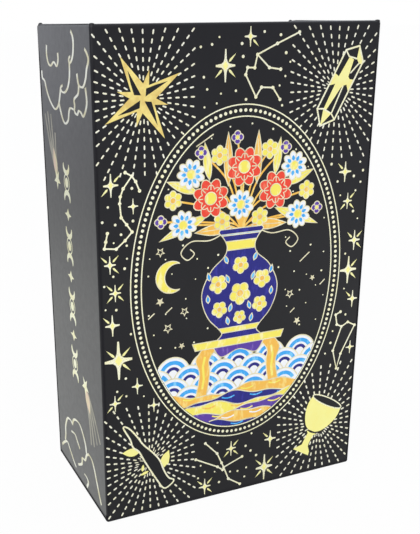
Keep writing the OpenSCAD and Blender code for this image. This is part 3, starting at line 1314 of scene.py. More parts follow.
@dataclass(frozen=True)
class Crystal(Emblem):
    """Six-sided crystal with two points, drawn in lines with a solid middle."""

    centre: complex = 28.8 + 114.1j
    lean: float = 61.2
    tip: float = 11.6
    top: float = 11.1
    shoulder: float = 8.3
    half_width: float = 3.15
    facet: float = 1.45
    near_facet: float = 1.05
    fold: float = 7.4
    facet_line: float = 0.4

    def at(self, *places: Span) -> Path:
        """Points by their places along the crystal and to its right."""
        return [self.centre + polar(1.0, self.lean) * complex(along, -side) for along, side in places]

    def outlines(self) -> list[Path]:
        """The six-cornered outline."""
        s, w = self.shoulder, self.half_width
        return [self.at((self.top, 0), (s, -w), (-s, -w), (-self.tip, 0), (-s, w), (s, w))]

    def lines(self) -> list[Patch]:
        """Draws the outline and the facets' edges.

        Returns:
            The lines.
        """
        s, w, facet, fold = self.shoulder, self.half_width, self.facet, self.fold
        edges = (
            self.at((s, -w), (fold, -facet), (fold + 0.6, self.near_facet)),
            self.at((-s, -w), (-fold, -facet), (-fold, facet), (-s, w)),
            self.at((fold, 2.3), (4.0, 1.2)), self.at((0.3, 0.9), (-fold, facet)),
        )
        outline = Patch.ribbon(self.outlines()[0], self.line, closed=True)
        return [outline, *[Patch.ribbon(edge, self.facet_line) for edge in edges]]

    def fills(self) -> list[Patch]:
        """Fills two facets and the middle.

        Returns:
            The crystal's foil.
        """
        s, w, facet, fold = self.shoulder, self.half_width, self.facet, self.fold
        upper = ((self.top, 0), (fold + 0.6, self.near_facet), (fold - 0.2, 2.4), (s - 0.6, w), (s, w))
        lower = ((-self.tip, 0), (-fold, -facet), (-fold, facet))
        middle = (
            (fold, -1.2), (fold, 0.3), (4.3, 0.9), (3.0, 1.1), (2.6, 1.8), (3.1, w), (-0.4, w), (1.0, 1.7),
            (0.2, 0.8), (-0.6, 0.5), (-fold, -0.5), (-fold, -1.4), (-0.4, -1.6), (-1.7, -w), (1.9, -w),
            (1.7, -1.6),
        )
        return [Patch.filled(self.at(*outline)) for outline in (upper, lower, middle)]


@dataclass(frozen=True)
class Branch(Emblem):
    """Cut branch drawn in outline, with solid leaves."""

    right_side: tuple[Span, ...] = (
        (-34.2, 27.8), (-32.6, 26.9), (-30.5, 24.2), (-28.6, 21.2), (-25.9, 18.2), (-23.8, 15.3),
        (-22.6, 12.0), (-21.1, 9.1), (-19.5, 8.0),
    )
    left_side: tuple[Span, ...] = (
        (-20.3, 6.8), (-22.5, 6.0), (-24.6, 9.1), (-28.1, 15.6), (-29.9, 19.3), (-31.6, 21.0), (-32.4, 23.6),
        (-34.0, 26.7),
    )
    half_leaf: tuple[Span, ...] = (
        (-23.5, 15.2), (-22.7, 16.6), (-20.9, 17.8), (-20.7, 15.8), (-21.0, 13.8), (-22.5, 12.6),
    )

    def rod(self) -> Path:
        """The branch's outline, from its tip down its right side and up its left side."""
        return flowing(spots(*self.right_side, *self.left_side), 4, closed=True)

    def leaves(self) -> list[Path]:
        """Draws the leaves.

        Returns:
            Their outlines.
        """
        big = leaf_path(-29.6 + 19.2j, -34.8 + 19.9j, 2.5)
        buds = [leaf_path(-27.1 + 12.6j, -29.7 + 11.8j, 0.9), leaf_path(-29.0 + 12.9j, -28.7 + 15.0j, 0.9)]
        return [big, spots(*self.half_leaf), *buds]

    def outlines(self) -> list[Path]:
        """The branch and its leaves."""
        return [self.rod(), *self.leaves()]

    def lines(self) -> list[Patch]:
        """The branch's line."""
        return [Patch.ribbon(self.rod(), self.line, closed=True)]

    def fills(self) -> list[Patch]:
        """The filled leaves."""
        return [Patch.filled(leaf) for leaf in self.leaves()]


@dataclass(frozen=True)
class Goblet(Emblem):
    """Leaning cup, solid but for its mouth and a thin gap over its stem."""

    rim: complex = 31.2 + 22.1j
    lean: float = -30.0
    half_width: float = 5.9
    mouth_depth: float = 1.2
    mouth_line: float = 0.36
    bowl_side: tuple[Span, ...] = (
        (-5.9, 0.0), (-6.15, -2.5), (-5.8, -4.5), (-5.0, -6.5), (-3.9, -8.2), (-2.7, -9.4), (-1.3, -10.1),
    )
    foot_edge: tuple[Span, ...] = (
        (2.3, -10.4), (1.4, -11.2), (1.4, -13.6), (1.6, -14.9), (3.1, -16.4), (3.4, -17.6), (-3.0, -17.4),
        (-2.6, -16.9), (-0.8, -15.1), (-0.9, -13.5), (-0.9, -11.2), (-1.8, -10.5), (0.1, -10.75),
    )

    def at(self, points: Iterable[complex]) -> Path:
        """Points by their places to the right of the cup's middle and above its rim."""
        return [self.rim + polar(1.0, self.lean) * point for point in points]

    def mouth_arc(self, steps: range, half_turn: int, way: int) -> Path:
        """Points on the mouth's edge, by steps of which so many make half a turn, upwards or downwards."""
        angles = [math.pi * i / half_turn for i in steps]
        return [complex(self.half_width * math.cos(a), way * self.mouth_depth * math.sin(a)) for a in angles]

    def bowl(self) -> Path:
        """Runs round the bowl, from the left end of the rim and back under the mouth's near edge.

        Returns:
            The outline.
        """
        left, right = spots(*self.bowl_side), spots(*reversed(self.bowl_side), side=-1)
        near = self.mouth_arc(range(1, 12), 12, -1)
        return flowing(self.at(left), 4) + flowing(self.at(right), 4) + self.at(near)

    def foot(self) -> Path:
        """The outline of the stem and foot."""
        return self.at(spots(*self.foot_edge))

    def mouth(self) -> Path:
        """The rim's ring."""
        return self.at(self.mouth_arc(range(32), 16, 1))

    def outlines(self) -> list[Path]:
        """Bowl, mouth, stem and foot."""
        return [self.bowl(), self.mouth(), self.foot()]

    def lines(self) -> list[Patch]:
        """The rim's line."""
        return [Patch.ribbon(self.mouth(), self.mouth_line, closed=True)]

    def fills(self) -> list[Patch]:
        """The filled bowl and foot."""
        return [Patch.filled(self.bowl()), Patch.filled(self.foot())]


@dataclass(frozen=True)
class CornerBurst:
    """An emblem with dashed rays round it, cut to a window."""

    name: str
    emblem: Emblem
    finish: FoilStamp
    middle: complex
    low: complex
    high: complex
    rays: int = 36
    rings: int = 14
    first: float = 2.2
    pitch: float = 2.07
    dash: float = 1.12
    width: float = 0.43
    full_width_from: float = 5.6
    jitter: float = 0.65
    phase: float = 0.05
    touch: float = 0.36
    dash_side: tuple[complex, ...] = (
        0.5 + 0.2j, 0.42 + 0.4j, 0.3 + 0.5j, -0.3 + 0.5j, -0.42 + 0.4j, -0.5 + 0.2j,
    )
    seed: int = 5
    fill_lift: float = 0.002
    line_lift: float = 0.006
    plate_step: float = 0.0004
    oval_steps: int = 64

    def build_emblem(self) -> None:
        """Makes the emblem's solid foil and, a little higher, its lines."""
        for label, finish, patches, lift in (
            ("emblem", self.finish, self.emblem.fills(), self.fill_lift),
            ("outline", GOLD_BRIGHT, self.emblem.lines(), self.line_lift),
        ):
            sheet = PlateSheet(f"{self.name}_{label}", FACES.front(), finish)
            sheet.add(*patches, height=FOIL_HEIGHT + lift, step=self.plate_step)
            if patches:
                sheet.build()

    def ray_points(self, recipe: NodeRecipe) -> Socket:
        """Lays points on the rays, from the window inwards.

        Args:
            recipe: the rays' tree.

        Returns:
            The points that aren't too near the middle.
        """
        wire, size = recipe.wire, recipe.size
        index = wire.out("GeometryNodeInputIndex")
        ray = wire.maths("FLOOR", wire.over(index, size("rings")))
        ring = wire.maths("MODULO", index, size("rings"))
        short = recipe.random(0.0, size("jitter"), ID=ray)
        angle = wire.plus(wire.over(wire.times(ray, 2 * math.pi), size("rays")), size("phase"))
        ways = [wire.maths(way, angle) for way in ("COSINE", "SINE")]
        limits = [wire.split(wire.vector("SUBTRACT", size(end), size("middle"))) for end in ("low", "high")]
        spans = [wire.most(*[wire.over(limit[k], ways[k]) for limit in limits]) for k in (0, 1)]
        edge = wire.minus(wire.least(*spans), wire.times(size("dash"), 0.5))
        reach = wire.minus(edge, wire.plus(short, wire.times(ring, size("pitch"))))
        offset = wire.combine(*[wire.times(reach, way) for way in ways])
        count = wire.times(size("rays"), size("rings"))
        feeds = {"Count": count, "Position": wire.vector("ADD", offset, size("middle"))}
        points = wire.out("GeometryNodePoints", feeds)
        return recipe.without(points, wire.maths("LESS_THAN", reach, size("first")))

    def build_rays(self) -> None:
        """Makes the rays of dashes, which are left out over the emblem and in the oval."""
        outlines = [*self.emblem.outlines(), OVAL.path(0.0, self.oval_steps)]
        cover = FlatHelper(self.name + "_cover", [Patch.filled(path) for path in outlines])
        dash = Patch.filled([sign * corner / MM for sign in (1, -1) for corner in self.dash_side])
        shape = FlatHelper(self.name + "_dash", [dash], thick=True)
        lengths = ("first", "pitch", "dash", "width", "full_width_from", "jitter", "touch")
        recipe = NodeRecipe(
            f"{self.name}_rays", GOLD_RAY, rays=self.rays, rings=self.rings, seed=self.seed,
            phase=math.radians(self.phase), thickness=FOIL_HEIGHT * MM, cover=cover.object,
            shape=shape.object, middle=flat(self.middle), low=flat(self.low), high=flat(self.high),
            **{label: getattr(self, label) * MM for label in lengths},
        )
        wire, size = recipe.wire, recipe.size
        points, place = self.ray_points(recipe), recipe.place()
        away = wire.vector("SUBTRACT", place, size("middle"))
        along = wire.vector("MULTIPLY", wire.vector("NORMALIZE", away), wire.combine(*[size("touch")] * 3))
        ends = [wire.vector(way, place, along) for way in ("ADD", "SUBTRACT")]
        points = recipe.without(points, wire.most(*[recipe.hits("cover", end) for end in ends]))
        slim = wire.least(wire.over(wire.length(away), size("full_width_from")), 1.0)
        scale = wire.combine(size("dash"), wire.times(size("width"), slim), size("thickness"))
        x, y, _ = wire.split(away)
        recipe.stamp(points, recipe.mesh_of("shape"), wire.combine(z=wire.maths("ARCTAN2", y, x)), scale)
        recipe.run()
        cover.remove()
        shape.remove()

    def build(self) -> None:
        """Makes emblem and rays."""
        self.build_emblem()
        self.build_rays()


BURSTS = (
    # The star's foil is the darker copy, painted shade
    CornerBurst("star", CompassStar(), GOLD_SHADED, -26.95 + 113.0j, -39.5 + 94.4j, -13.1 + 129.2j, width=0.4),
    CornerBurst("crystal", Crystal(), GOLD_SATIN, 27.6 + 112.9j, 13.3 + 94.8j, 39.7 + 129.2j, width=0.41),
    CornerBurst("branch", Branch(), GOLD_PALE, -26.8 + 15.4j, -39.6 + 0.3j, -12.6 + 33.4j, width=0.45),
    CornerBurst("goblet", Goblet(), GOLD_PALE, 28.2 + 15.4j, 13.7 + 0.3j, 39.7 + 34.8j, width=0.48),
)


class Flare(Enum):
    """Directions of the short strokes beside a sparkle, in degrees."""

    NE = 45.0
    NW = 135.0
    SW = 225.0
    SE = 315.0


NE, NW, SW, SE = Flare
# Place of a stamped shape, its scale across and up, and its turn in degrees
Stamp = tuple[complex, complex, float]


@dataclass(frozen=True)
class Sparkle:
    """A four-pointed glint with short strokes between its points."""

    centre: complex
    rise: float
    reach: float
    flares: tuple[Flare, ...] = ()


@dataclass(frozen=True)
class DotScatter:
    """Foil dots strewn over a part of the front."""

    name: str
    seed: int
    spacing: float
    radii: Span
    density: float = 2.0e5
    sides: int = 10

    def build(self, region: Patch, cover: Sequence[Patch]) -> None:
        """Makes the dots.

        Args:
            region: where they may lie.
            cover: what they keep clear of.
        """
        sheet, hidden = FlatHelper(self.name + "_region", [region]), FlatHelper(self.name + "_cover", cover)
        recipe = NodeRecipe(
            self.name, GOLD_BRIGHT, region=sheet.object, cover=hidden.object, seed=self.seed,
            spacing=self.spacing * MM, smallest=self.radii[0] * MM, largest=self.radii[1] * MM,
            thickness=2 * FOIL_HEIGHT * MM,
        )
        wire, size = recipe.wire, recipe.size
        feeds = {"Distance Min": size("spacing"), "Density Max": self.density, "Seed": size("seed")}
        feeds = {"Mesh": recipe.mesh_of("region"), **feeds}
        points = wire.out("GeometryNodeDistributePointsOnFaces", feeds, distribute_method="POISSON")
        points = recipe.without(points, recipe.hits("cover", recipe.place()))
        radius = recipe.random(size("smallest"), size("largest"))
        feeds = {"Vertices": self.sides, "Radius": 1.0, "Depth": 1.0}
        dot = wire.node("GeometryNodeMeshCylinder", feeds).outputs["Mesh"]
        recipe.stamp(points, dot, (0.0, 0.0, 0.0), wire.combine(radius, radius, size("thickness")))
        recipe.run()
        sheet.remove()
        hidden.remove()


@dataclass(frozen=True)
class NightSky:
    """Constellations, sparkles and dots between the corners and the oval."""

    line_width: float = 0.39
    line_lift: float = 0.0045
    line_clear: float = 2.4
    node_radius: float = 0.45
    node_lift: float = 0.0095
    plate_step: float = 0.0005
    glint_growth: float = 1.03
    glint_corner: tuple[complex, ...] = (1.0 + 0.06j, 0.42 + 0.115j, 0.22 + 0.22j, 0.115 + 0.42j, 0.06 + 1.0j)
    glint_lift: float = 0.003
    glint_clear: float = 0.5
    heart_share: float = 0.55
    heart_lift: float = 0.006
    drop: tuple[Span, ...] = (
        (0.0, 0.0), (0.18, -0.42), (0.42, -0.36), (1.0, 0.0), (0.42, 0.36), (0.18, 0.42),
    )
    # Start, length and width of a stroke: a size, and what it grows by with the rise of its glint
    stroke_sizes: tuple[Span, ...] = ((0.7, 0.14), (1.6, 0.33), (0.5, 0.06))
    stroke_lift: float = 0.0015
    oval_clear: float = 0.9
    margin: float = 1.4
    dots: DotScatter = DotScatter("sky_dots", 7, 2.5, (0.24, 0.42))
    sparkles: tuple[Sparkle, ...] = (
        Sparkle(-5.2 + 120.0j, 3.8, 2.6, (NE, SW, SE)), Sparkle(1.6 + 126.7j, 2.3, 1.6, (SE,)),
        Sparkle(-35.9 + 93.1j, 2.8, 1.9, (NE, SW)), Sparkle(-30.2 + 87.5j, 1.9, 1.3),
        Sparkle(-36.7 + 73.2j, 2.3, 1.5, (NW, NE, SE)), Sparkle(-35.5 + 65.7j, 2.2, 1.5, (NW, NE, SW, SE)),
        Sparkle(-36.5 + 57.1j, 2.8, 1.9, (NW,)), Sparkle(-35.1 + 47.2j, 5.2, 3.7, (NW, NE, SE)),
        Sparkle(-30.0 + 39.0j, 2.3, 1.5), Sparkle(-36.4 + 35.1j, 2.2, 1.5, (NE, SW)),
        Sparkle(-25.3 + 32.5j, 2.0, 1.3),
        Sparkle(32.2 + 91.1j, 2.7, 1.9, (NW,)), Sparkle(33.6 + 82.9j, 2.2, 1.4, (NE, SW, SE)),
        Sparkle(36.8 + 71.4j, 2.8, 1.8, (NW, NE, SE)), Sparkle(35.4 + 62.8j, 3.9, 2.7, (NE, SE)),
        Sparkle(37.6 + 53.8j, 2.5, 1.6, (NW,)), Sparkle(38.0 + 38.6j, 2.0, 1.4),
        Sparkle(-1.3 + 13.7j, 2.3, 1.5, (NE, SW, SE)), Sparkle(11.7 + 13.9j, 2.7, 1.8, (NW,)),
        Sparkle(10.0 + 4.9j, 4.1, 2.7, (NW, NE, SW, SE)), Sparkle(-9.7 + 3.2j, 2.5, 1.8, (NW, NE, SE)),
    )

    def constellations(self) -> list[Path]:
        """Draws the lines from star to star.

        Returns:
            The stars on each line, some of which are on two.
        """
        top, left, right, low = 3.7 + 122.4j, -30.4 + 95.0j, 34.5 + 45.6j, -3.6 + 8.1j
        upper = (
            (3.0, 119.3), (1.0, 119.4), (0.5, 117.7), (3.55, 112.2), (5.1, 114.5), (8.4, 114.3),
            (10.6, 111.3),
        )
        outer = (
            (-32.7, 92.1), (-33.5, 90.2), (-33.7, 88.5), (-33.4, 85.0), (-32.0, 83.1), (-30.6, 81.1),
            (-32.5, 79.1), (-34.9, 77.2), (-38.0, 77.6), (-37.6, 79.3), (-37.1, 81.4),
        )
        return [
            [*spots((15.6, 127.5), (9.3, 124.9)), top, *spots(*upper)],
            [top, *spots((7.2, 119.2), (10.5, 118.7))],
            [*spots((-32.1, 96.0)), left, *spots((-29.4, 93.6), (-28.4, 91.2))],
            [left, *spots(*outer)],
            [right, *spots((32.0, 38.4), (33.6, 32.5), (34.8, 37.0), (39.1, 45.4), (36.6, 46.7)), right],
            [right, *spots((32.8, 46.5), (32.2, 49.6), (33.8, 50.3))],
            [*spots((-9.6, 17.2), (-5.8, 13.1), (-4.3, 9.7)), low, *spots((2.4, 10.2))],
            [*spots((-12.6, 12.7), (-5.6, 8.7), (-3.9, 7.3)), low],
            [low, *spots((-2.0, 3.9), (1.9, 1.2))],
        ]

    def build_constellations(self) -> None:
        """Makes the lines and the stars at their bends."""
        sheet = PlateSheet("constellations", FACES.front(), GOLD_BRIGHT)
        for i, path in enumerate(self.constellations()):
            level = FOIL_HEIGHT + self.plate_step * i
            sheet.add(Patch.ribbon(path, self.line_width), height=level + self.line_lift)
            stars = [Patch.filled(disc_path(star, self.node_radius, 12)) for star in path]
            sheet.add(*stars, height=level + self.node_lift)
        sheet.build()

    def stamp_points(
        self, name: str, finish: FoilStamp, shape: Path, lift: float, stamps: Sequence[Stamp]
    ) -> None:
        """Stamps one shape on many points.

        Args:
            name: the piece's name.
            finish: the piece's foil.
            shape: outline of the shape, about one millimetre in size.
            lift: how far the shapes stand above plain foil.
            stamps: where they go.
        """
        helper = FlatHelper(name + "_shape", [Patch.filled(shape)], thick=True)
        recipe = NodeRecipe(name, finish, shape=helper.object, thickness=(FOIL_HEIGHT + lift) * MM)
        wire, stored = recipe.wire, []
        carrier = bpy.data.meshes.new(name + "_points")
        carrier.from_pydata([flat(place) for place, _, _ in stamps], [], [])
        scales = [part for _, scale, _ in stamps for part in (scale.real, scale.imag, 1.0)]
        turns = [part for _, _, turn in stamps for part in (0.0, 0.0, math.radians(turn))]
        for label, values in (("stamp_scale", scales), ("stamp_turn", turns)):
            carrier.attributes.new(label, "FLOAT_VECTOR", "POINT").data.foreach_set("vector", values)
            feeds = {"Name": label}
            stored.append(wire.out("GeometryNodeInputNamedAttribute", feeds, data_type="FLOAT_VECTOR"))
        x, y, _ = wire.split(stored[0])
        points = wire.out("GeometryNodeMeshToPoints", {"Mesh": recipe.size("Points")})
        recipe.stamp(points, recipe.mesh_of("shape"), stored[1], wire.combine(x, y, recipe.size("thickness")))
        recipe.run(carrier)
        helper.remove()

    def build_sparkles(self) -> None:
        """Makes the glints, their hearts and the strokes beside them."""
        glint = [1j**quarter * corner for quarter in range(4) for corner in self.glint_corner]
        glints = [(s.centre, self.glint_growth * complex(s.reach, s.rise), 0.0) for s in self.sparkles]
        hearts = [(centre, self.heart_share * scale, turn) for centre, scale, turn in glints]
        strokes = []
        for s in self.sparkles:
            start, long, wide = (size + growth * s.rise for size, growth in self.stroke_sizes)
            for way in (flare.value for flare in s.flares):
                strokes.append((s.centre + polar(start, way), complex(long, wide), way))
        self.stamp_points("sparkles", GOLD_BRIGHT, glint, self.glint_lift, glints)
        self.stamp_points("sparkle_hearts", GOLD_PALE, disc_path(0, 0.5, 4), self.heart_lift, hearts)
        self.stamp_points("sparkle_strokes", GOLD_CREAM, spots(*self.drop), self.stroke_lift, strokes)

    def covers(self) -> list[Patch]:
        """Gathers what the dots keep clear of.

        Returns:
            Patches over the lines, the sparkles, the corners and the oval.
        """
        made = [Patch.ribbon(path, self.line_clear) for path in self.constellations()]
        rounds = [(s.centre, max(s.rise, s.reach) + self.glint_clear) for s in self.sparkles]
        outlines = [disc_path(centre, radius, 16) for centre, radius in rounds]
        outlines += [oblong_path(burst.low, burst.high) for burst in BURSTS]
        return made + [Patch.filled(path) for path in (*outlines, OVAL.path(-self.oval_clear, 64))]

    def build(self) -> None:
        """Makes everything in the sky."""
        self.build_constellations()
        self.build_sparkles()
        edge, inset = FACES.size(), self.margin
        low, high = complex(inset - edge.x, inset), complex(edge.x - inset, edge.z - inset)
        self.dots.build(Patch.filled(oblong_path(low, high)), self.covers())


@dataclass
class OvalPicture:
    """A vase of blossoms on a stand, before waves and striped ground, printed with foil outlines."""

    middle: complex = 0.4 + 64.3j
    line_width: float = 0.27
    inset: float = 3.2
    stroke_inset: float = 3.4
    base_height: float = 0.006
    level_height: float = 0.004
    wave_radius: float = 5.0
    wave_drop: float = 3.1
    wave_top: float = -24.0
    wave_rows: int = 4
    ground_top: float = -31.6
    ground_step: float = 2.0
    foot: float = -50.0
    vase_profile: tuple[Span, ...] = (
        (6.2, 14.6), (6.6, 13.8), (5.2, 12.1), (4.2, 9.8), (5.0, 7.2), (8.6, 4.0), (11.2, -0.8), (11.4, -4.9),
        (9.5, -9.6), (6.4, -13.0), (5.4, -14.7), (6.8, -16.2),
    )
    dots: DotScatter = DotScatter("picture_dots", 3, 4.3, (0.18, 0.3))
    dot_inset: float = 4.2
    dot_clear: float = 1.2
    sheets: dict[Ink, PlateSheet] = field(default_factory=dict)
    cover: list[Patch] = field(default_factory=list)

    def __post_init__(self) -> None:
        """Starts one sheet for each colour and one for the foil lines."""
        self.sheets = {ink: PlateSheet(ink.value.name, FACES.front(), ink.value) for ink in Ink}
        self.lines = PlateSheet("picture_lines", FACES.front(), GOLD_LINE)

    def height(self, level: float) -> float:
        """How high plates of a level stand."""
        return self.base_height + self.level_height * level

    def paint(self, ink: Ink, outline: Path, level: float, lined: bool = True) -> None:
        """Fills an outline, cut to the oval.

        Args:
            ink: its colour.
            outline: its points, from the picture's middle.
            level: the level that it stands on.
            lined: whether a foil line runs round it.
        """
        outline = OVAL.trim([self.middle + p for p in outline], self.inset)
        if len(outline) < 3:
            return
        self.sheets[ink].add(Patch.filled(outline), height=self.height(level))
        self.cover.append(Patch.filled(outline))
        if lined:
            line = Patch.ribbon(outline, self.line_width, closed=True)
            self.lines.add(line, height=self.height(level + 0.5))

    def stroke(self, path: Path, width: float, level: float, ink: Ink | None = None) -> None:
        """Draws a line where it lies in the oval.

        Args:
            path: its points, from the picture's middle.
            width: its width.
            level: the level that it stands on.
            ink: its colour, or none for foil.
        """
        sheet = self.sheets[ink] if ink else self.lines
        run: Path = []
        for point in [*path, None]:
            if point is not None and OVAL.holds(self.middle + point, self.stroke_inset):
                run.append(self.middle + point)
                continue
            if len(run) > 1:
                sheet.add(Patch.ribbon(run, width), height=self.height(level))
                self.cover.append(Patch.ribbon(run, width))
            run = []

    def waves(self) -> None:
        """Rows of overlapping rounded waves, white with blue arcs."""
        r, top, drop = self.wave_radius, self.wave_top, self.wave_drop
        crest = [complex(2 * r * c, top) + polar(r, 180 - 15 * k) for c in range(-3, 4) for k in range(12)]
        low = [complex(side * 7 * r, self.foot) for side in (-1, 1)]
        self.paint(WHITE, [*low, *reversed(crest)], 0.5, lined=False)
        for column in range(-4, 4):
            second = complex(r * (2 * column + 1), top - drop)
            self.paint(WHITE, disc_path(second, r), 0.4 - 0.02 * column, lined=False)
        for row in range(self.wave_rows):
            for column in range(-4, 5):
                centre = complex(2 * r * column + r * (row % 2), top - drop * row)
                nearer = [centre + complex(side * r, -drop) for side in (-1, 1)]
                for share, width, ink in ((1.0, 0.36, None), (0.7, 1.15, SKY), (0.36, 0.9, NAVY)):
                    arc = [centre + polar(r * share, 4 * k) for k in range(46)]
                    kept = [p for p in arc if all(abs(p - n) > r - 0.1 for n in nearer)]
                    if len(kept) > 2:
                        self.stroke(kept, width, 1.0 if ink else 1.5, ink)

    def ground(self) -> None:
        """Striped ground with short blades at the foot of the oval."""
        grounds = (OCHRE, NAVY, YELLOW, PURPLE, OCHRE, NAVY)
        blades = (YELLOW, SKY, OCHRE, YELLOW, WHITE, SKY)
        half = 30
        for k, (ink, blade_ink) in enumerate(zip(grounds, blades)):
            edge, top = [], self.ground_top - self.ground_step * k
            for x in range(-half, half + 1):
                swell = math.sin(0.21 * x + 1.9 * k) + 0.45 * math.sin(0.53 * x + 2.3 * k)
                edge.append(complex(x, top + swell))
            level = 3 + 0.5 * k
            self.paint(ink, [*edge, complex(half, self.foot), complex(-half, self.foot)], level, lined=False)
            self.stroke(edge, 0.34, level + 0.25)
            for x in range(-26 + 3 * (k % 3), 27, 9):
                root = edge[x + half] - 0.75j
                blade = [root + complex(4 * t, -0.5 * math.sin(math.pi * t)) for t in (0, 0.25, 0.5, 0.75, 1)]
                self.stroke(blade, 0.42, level + 0.3, blade_ink)

    def stand(self) -> None:
        """A low stand with bowed legs."""
        for side in (-1, 1):
            outer = spots((11.2, -18.0), (13.2, -21.2), (12.0, -25.6), (13.4, -33.0), side=side)
            inner = spots((10.0, -33.0), (8.9, -25.6), (9.1, -21.4), (6.2, -18.0), side=side)
            shine = spots((10.4, -20.4), (11.0, -23.2), (10.7, -27.0), (11.2, -30.0), side=side)
            self.paint(OCHRE, flowing(outer, 5) + flowing(inner, 5), 2.0)
            self.stroke(shine, 0.7, 2.5, YELLOW)
        apron = spots((-8.0, -18.0), (-5.4, -21.4), (0, -19.8), (5.4, -21.4), (8.0, -18.0))
        self.paint(PURPLE, flowing(apron, 6), 2.6)
        self.paint(YELLOW, spots((-14.2, -16.2), (-13.4, -18.3), (13.4, -18.3), (14.2, -16.2)), 3.2)

    def vase(self) -> None:
        """A round vase with bands, rosettes and small leaves."""
        half = flowing(spots(*self.vase_profile), 5)
        self.paint(NAVY, half + [-p.conjugate() for p in reversed(half)], 4.4)
        for low, high, ink in ((8.4, 11.4, YELLOW), (-14.6, -12.6, YELLOW), (12.6, 13.4, SKY)):
            band = [p for p in half if low <= p.imag <= high]
            self.paint(ink, band + [-p.conjugate() for p in reversed(band)], 5.4)
        for x, y, r in ((0, -3.6, 3.2), (0, 4.4, 2.4), (0, -10.4, 1.9), (6.7, -0.2, 2.6), (6.2, -7.4, 2.3)):
            for side in (-1, 1) if x else (1,):
                self.blossom(complex(side * x, y), r, 5, (YELLOW, OCHRE), 5.4, 90.0)
        for x, y, lean in (
            (3.5, 1.0, 0.8), (3.2, -7.3, -0.6), (9.6, -4.0, 0.2), (4.0, 6.4, 0.9), (3.4, -11.0, 0.5),
            (9.2, 2.2, 0.6),
        ):
            for side in (-1, 1):
                base, tip = spots((x, y - 1.1), (x + lean, y + 1.1), side=side)
                self.paint(SKY, leaf_path(base, tip, 1.1, 5), 5.4)

    def blossom(
        self, centre: complex, radius: float, petals: int, inks: tuple[Ink, Ink], level: float,
        turn: float = 0.0,
    ) -> None:
        """Paints one blossom with a heart and short petal lines.

        Args:
            centre: its middle, from the picture's middle.
            radius: its radius.
            petals: how many petals it has.
            inks: the colours of its petals and heart.
            level: the level that it stands on.
            turn: its turn in degrees.
        """
        self.paint(inks[0], blossom_path(centre, radius, petals, turn), level)
        for k in range(petals):
            crease = [centre + polar(radius * share, turn + 360 * k / petals) for share in (0.42, 0.7)]
            self.stroke(crease, self.line_width, level + 0.8)
        self.paint(inks[1], disc_path(centre, 0.32 * radius, 14), level + 0.8)

    def greenery(self, heads: Path) -> None:
        """Draws stems to the heads of the blossoms, and tendrils and leaves beside them.

        Args:
            heads: where the stems end.
        """
        neck = 14.0j
        for i, head in enumerate(heads):
            bend = neck + complex(0.35 * head.real, 0.62 * (head.imag - neck.imag))
            self.stroke(flowing([neck, bend, head], 6), 0.5, 0.05 * i - 0.8, OCHRE)
        curl = ((3.6, 14.6), (9.0, 12.2), (14.6, 12.4), (17.6, 9.8), (15.8, 7.6), (13.8, 9.0), (15.0, 10.4))
        for side in (-1, 1):
            self.stroke(flowing(spots(*curl, side=side), 6), 0.32, 0.5)
            for low, high, width, ink in (
                ((3.0, 15.0), (13.6, 14.6), 2.8, OCHRE), ((10.0, 19.0), (23.6, 13.4), 2.6, YELLOW),
                ((4.2, 26.0), (4.4, 39.6), 2.4, OCHRE), ((13.0, 25.0), (21.4, 28.4), 2.4, YELLOW),
                ((9.6, 28.0), (11.0, 37.4), 2.2, YELLOW),
            ):
                base, tip = spots(low, high, side=side)
                self.paint(ink, leaf_path(base, tip, width, 8), 0.6)
                self.stroke([base + (tip - base) * share for share in (0.15, 0.5, 0.85)], 0.2, 1.4)

    def bouquet(self) -> None:
        """Stems, leaves, tendrils and blossoms that fan out of the vase."""
        reds = spots((-9.2, 23.2), (10.0, 23.8), (0.4, 30.6))
        pales = spots((-0.4, 20.8), (-14.8, 29.8), (15.4, 29.8), (-17.0, 17.0), (17.2, 16.6))
        golds = spots((-6.8, 34.0), (7.8, 34.6), (5.4, 17.0), (-5.8, 16.8), (-19.8, 23.6), (19.6, 23.0))
        buds = spots((-1.8, 38.2), (12.6, 34.8), (-12.0, 35.0), (-23.2, 18.4), (23.2, 17.8))
        self.greenery(reds + pales + golds + buds)
        for heads, radius, petals, inks, level, turn in (
            (buds, 1.7, 4, (PURPLE, YELLOW), 1.8, 45.0), (golds, 2.5, 6, (YELLOW, OCHRE), 2.8, 0.0),
            (pales, 3.9, 9, (WHITE, YELLOW), 3.8, 0.0), (reds, 5.2, 8, (RED, YELLOW), 5.0, 0.0),
        ):
            for head in heads:
                self.blossom(head, radius, petals, inks, level, turn)
        for head in pales:
            for way in range(20, 380, 40):
                petal = leaf_path(head + polar(1.25, way), head + polar(2.8, way), 1.0, 4)
                self.paint(SKY, petal, 4.6, lined=False)
        for head in reds:
            ring = blossom_path(head, 3.5, 8, 22.5)
            self.stroke([*ring, ring[0]], 0.24, 6.4)

